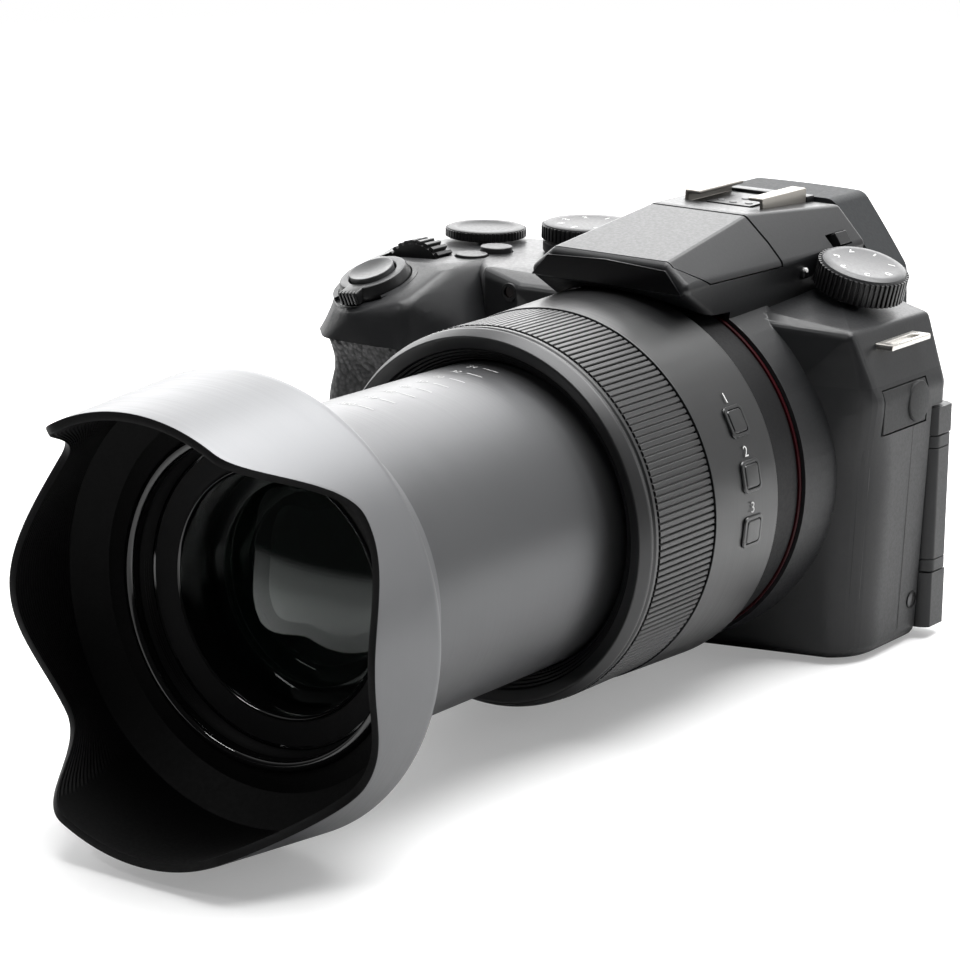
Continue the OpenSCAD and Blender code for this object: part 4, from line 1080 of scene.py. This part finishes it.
CAMERA_TURN, CAMERA_RISE, CAMERA_ROLL = math.radians(35.48), math.radians(14.51), math.radians(0.73)
CAMERA_SPOT = Vector((403.4, -655.9, 230.0))
CAMERA_LENS = 131.25


def set_camera():
    """The camera at the photograph's viewing angle."""
    back = Vector((math.sin(CAMERA_TURN) * math.cos(CAMERA_RISE),
                   -math.cos(CAMERA_TURN) * math.cos(CAMERA_RISE), math.sin(CAMERA_RISE)))
    right = Vector((math.cos(CAMERA_TURN), math.sin(CAMERA_TURN), 0))
    up = back.cross(right)
    across = right * math.cos(CAMERA_ROLL) + up * math.sin(CAMERA_ROLL)
    above = up * math.cos(CAMERA_ROLL) - right * math.sin(CAMERA_ROLL)
    camera = bpy.data.objects.new("camera", bpy.data.cameras.new("camera"))
    place = Matrix((across, above, back)).transposed().to_4x4()
    place.translation = CAMERA_SPOT * MM
    camera.matrix_world = place
    camera.data.lens = CAMERA_LENS
    camera.data.sensor_width = 36.0
    camera.data.clip_start = 0.01
    bpy.context.scene.collection.objects.link(camera)
    bpy.context.scene.camera = camera


def area(name, spot, aim, size, power):
    """A soft rectangular lamp, in metres and watts."""
    light = bpy.data.lights.new(name, "AREA")
    light.shape = "RECTANGLE"
    light.size, light.size_y = size
    light.energy = power
    obj = bpy.data.objects.new(name, light)
    obj.location = Vector(spot)
    obj.rotation_euler = (Vector(aim) - Vector(spot)).to_track_quat("-Z", "Y").to_euler()
    obj.visible_camera = False
    bpy.context.scene.collection.objects.link(obj)


ROOM_DARK, ROOM_PALE, BACKDROP = 0.025, 0.95, 1.0


def set_light():
    """A room that is white behind the object, also in mirrors, and dark in front of it.

    The camera and clear glass see plain white."""
    world = bpy.data.worlds.new("studio")
    bpy.context.scene.world = world
    world.use_nodes = True
    tree = world.node_tree
    ground = tree.nodes["Background"]
    ground.inputs["Color"].default_value = (1, 1, 1, 1)
    toward = source(tree, "ShaderNodeTexCoord", "Generated")
    ray = lambda kind: source(tree, "ShaderNodeLightPath", kind)
    seen = ray("Is Camera Ray").math("MAXIMUM", ray("Is Transmission Ray"))
    behind = toward.axis(1) * 0.75 - toward.axis(0) * 0.45 + toward.axis(2) * 0.35
    room = behind.ramp(-0.15, 0.70, ROOM_DARK, ROOM_PALE)
    mirrored = ray("Is Glossy Ray") * behind.ramp(-0.15, 0.70, ROOM_DARK, BACKDROP)
    feed(ground, "Strength", seen.math("MAXIMUM", mirrored).math("MAXIMUM", room))
    area("top_box", spot=(0.05, 0.10, 0.9), aim=(0, -0.08, 0.03), size=(0.9, 0.9), power=19.5)
    area("back_panel", spot=(-0.62, 0.85, 0.50), aim=(0, -0.06, 0.05), size=(1.4, 0.7), power=11.0)
    area("right_strip", spot=(0.9, 0.40, 0.40), aim=(0, -0.05, 0.05), size=(0.4, 0.6), power=1.5)
    area("lens_spark", spot=(-0.30, -0.80, 0.80), aim=(0, -0.16, 0.04), size=(0.30, 0.06), power=1.2)


FLOOR_HALF = 4000.0
FLOOR_SLOPE = 4.5 / 182.0
FLOOR_HINGE_Y = 17.0
FLOOR_GAP = 0.05
FLOOR_DARK, FLOOR_PALE, FLOOR_GLOW = 0.24, 0.76, 0.28


def set_floor():
    """A pale floor that holds the shadow and fades into the white room far from the object.

    It leans so that both the base and the hood's lowest petal touch it."""
    floor_mat, shader, at = new_material("floor", (0.6, 0.6, 0.6), 0.8, specular=0.1)
    ray = lambda kind: source(floor_mat.node_tree, "ShaderNodeLightPath", kind)
    camera = ray("Is Camera Ray")
    # For mirror rays the floor's colour darkens towards the front, a painted shade that darkens what the object's
    # front faces reflect.
    mirrored = ray("Is Glossy Ray") * at.axis(1).ramp(-0.35, -0.08, 0.25, 0.85)
    tone = (camera * FLOOR_PALE).math("MAXIMUM", mirrored).math("MAXIMUM", FLOOR_DARK)
    feed(shader, "Base Color", tone.tint((0, 0, 0), (1, 1, 1)))
    feed(shader, "Emission Color", camera.tint((0, 0, 0), (FLOOR_GLOW, FLOOR_GLOW, FLOOR_GLOW)))
    shader.inputs["Emission Strength"].default_value = 1.0
    feed(shader, "Alpha", at.length().ramp(0.35, 1.0, 1.0, 0.0))
    verts = []
    for x, y in ((-1, -1), (1, -1), (1, 1), (-1, 1)):
        y *= FLOOR_HALF
        verts.append((x * FLOOR_HALF, y, (y - FLOOR_HINGE_Y) * FLOOR_SLOPE - FLOOR_GAP))
    floor = add_object("floor", verts, [(0, 1, 2, 3)], [floor_mat])


set_camera()
set_light()
set_floor()
bpy.context.scene.view_settings.view_transform = "Standard"
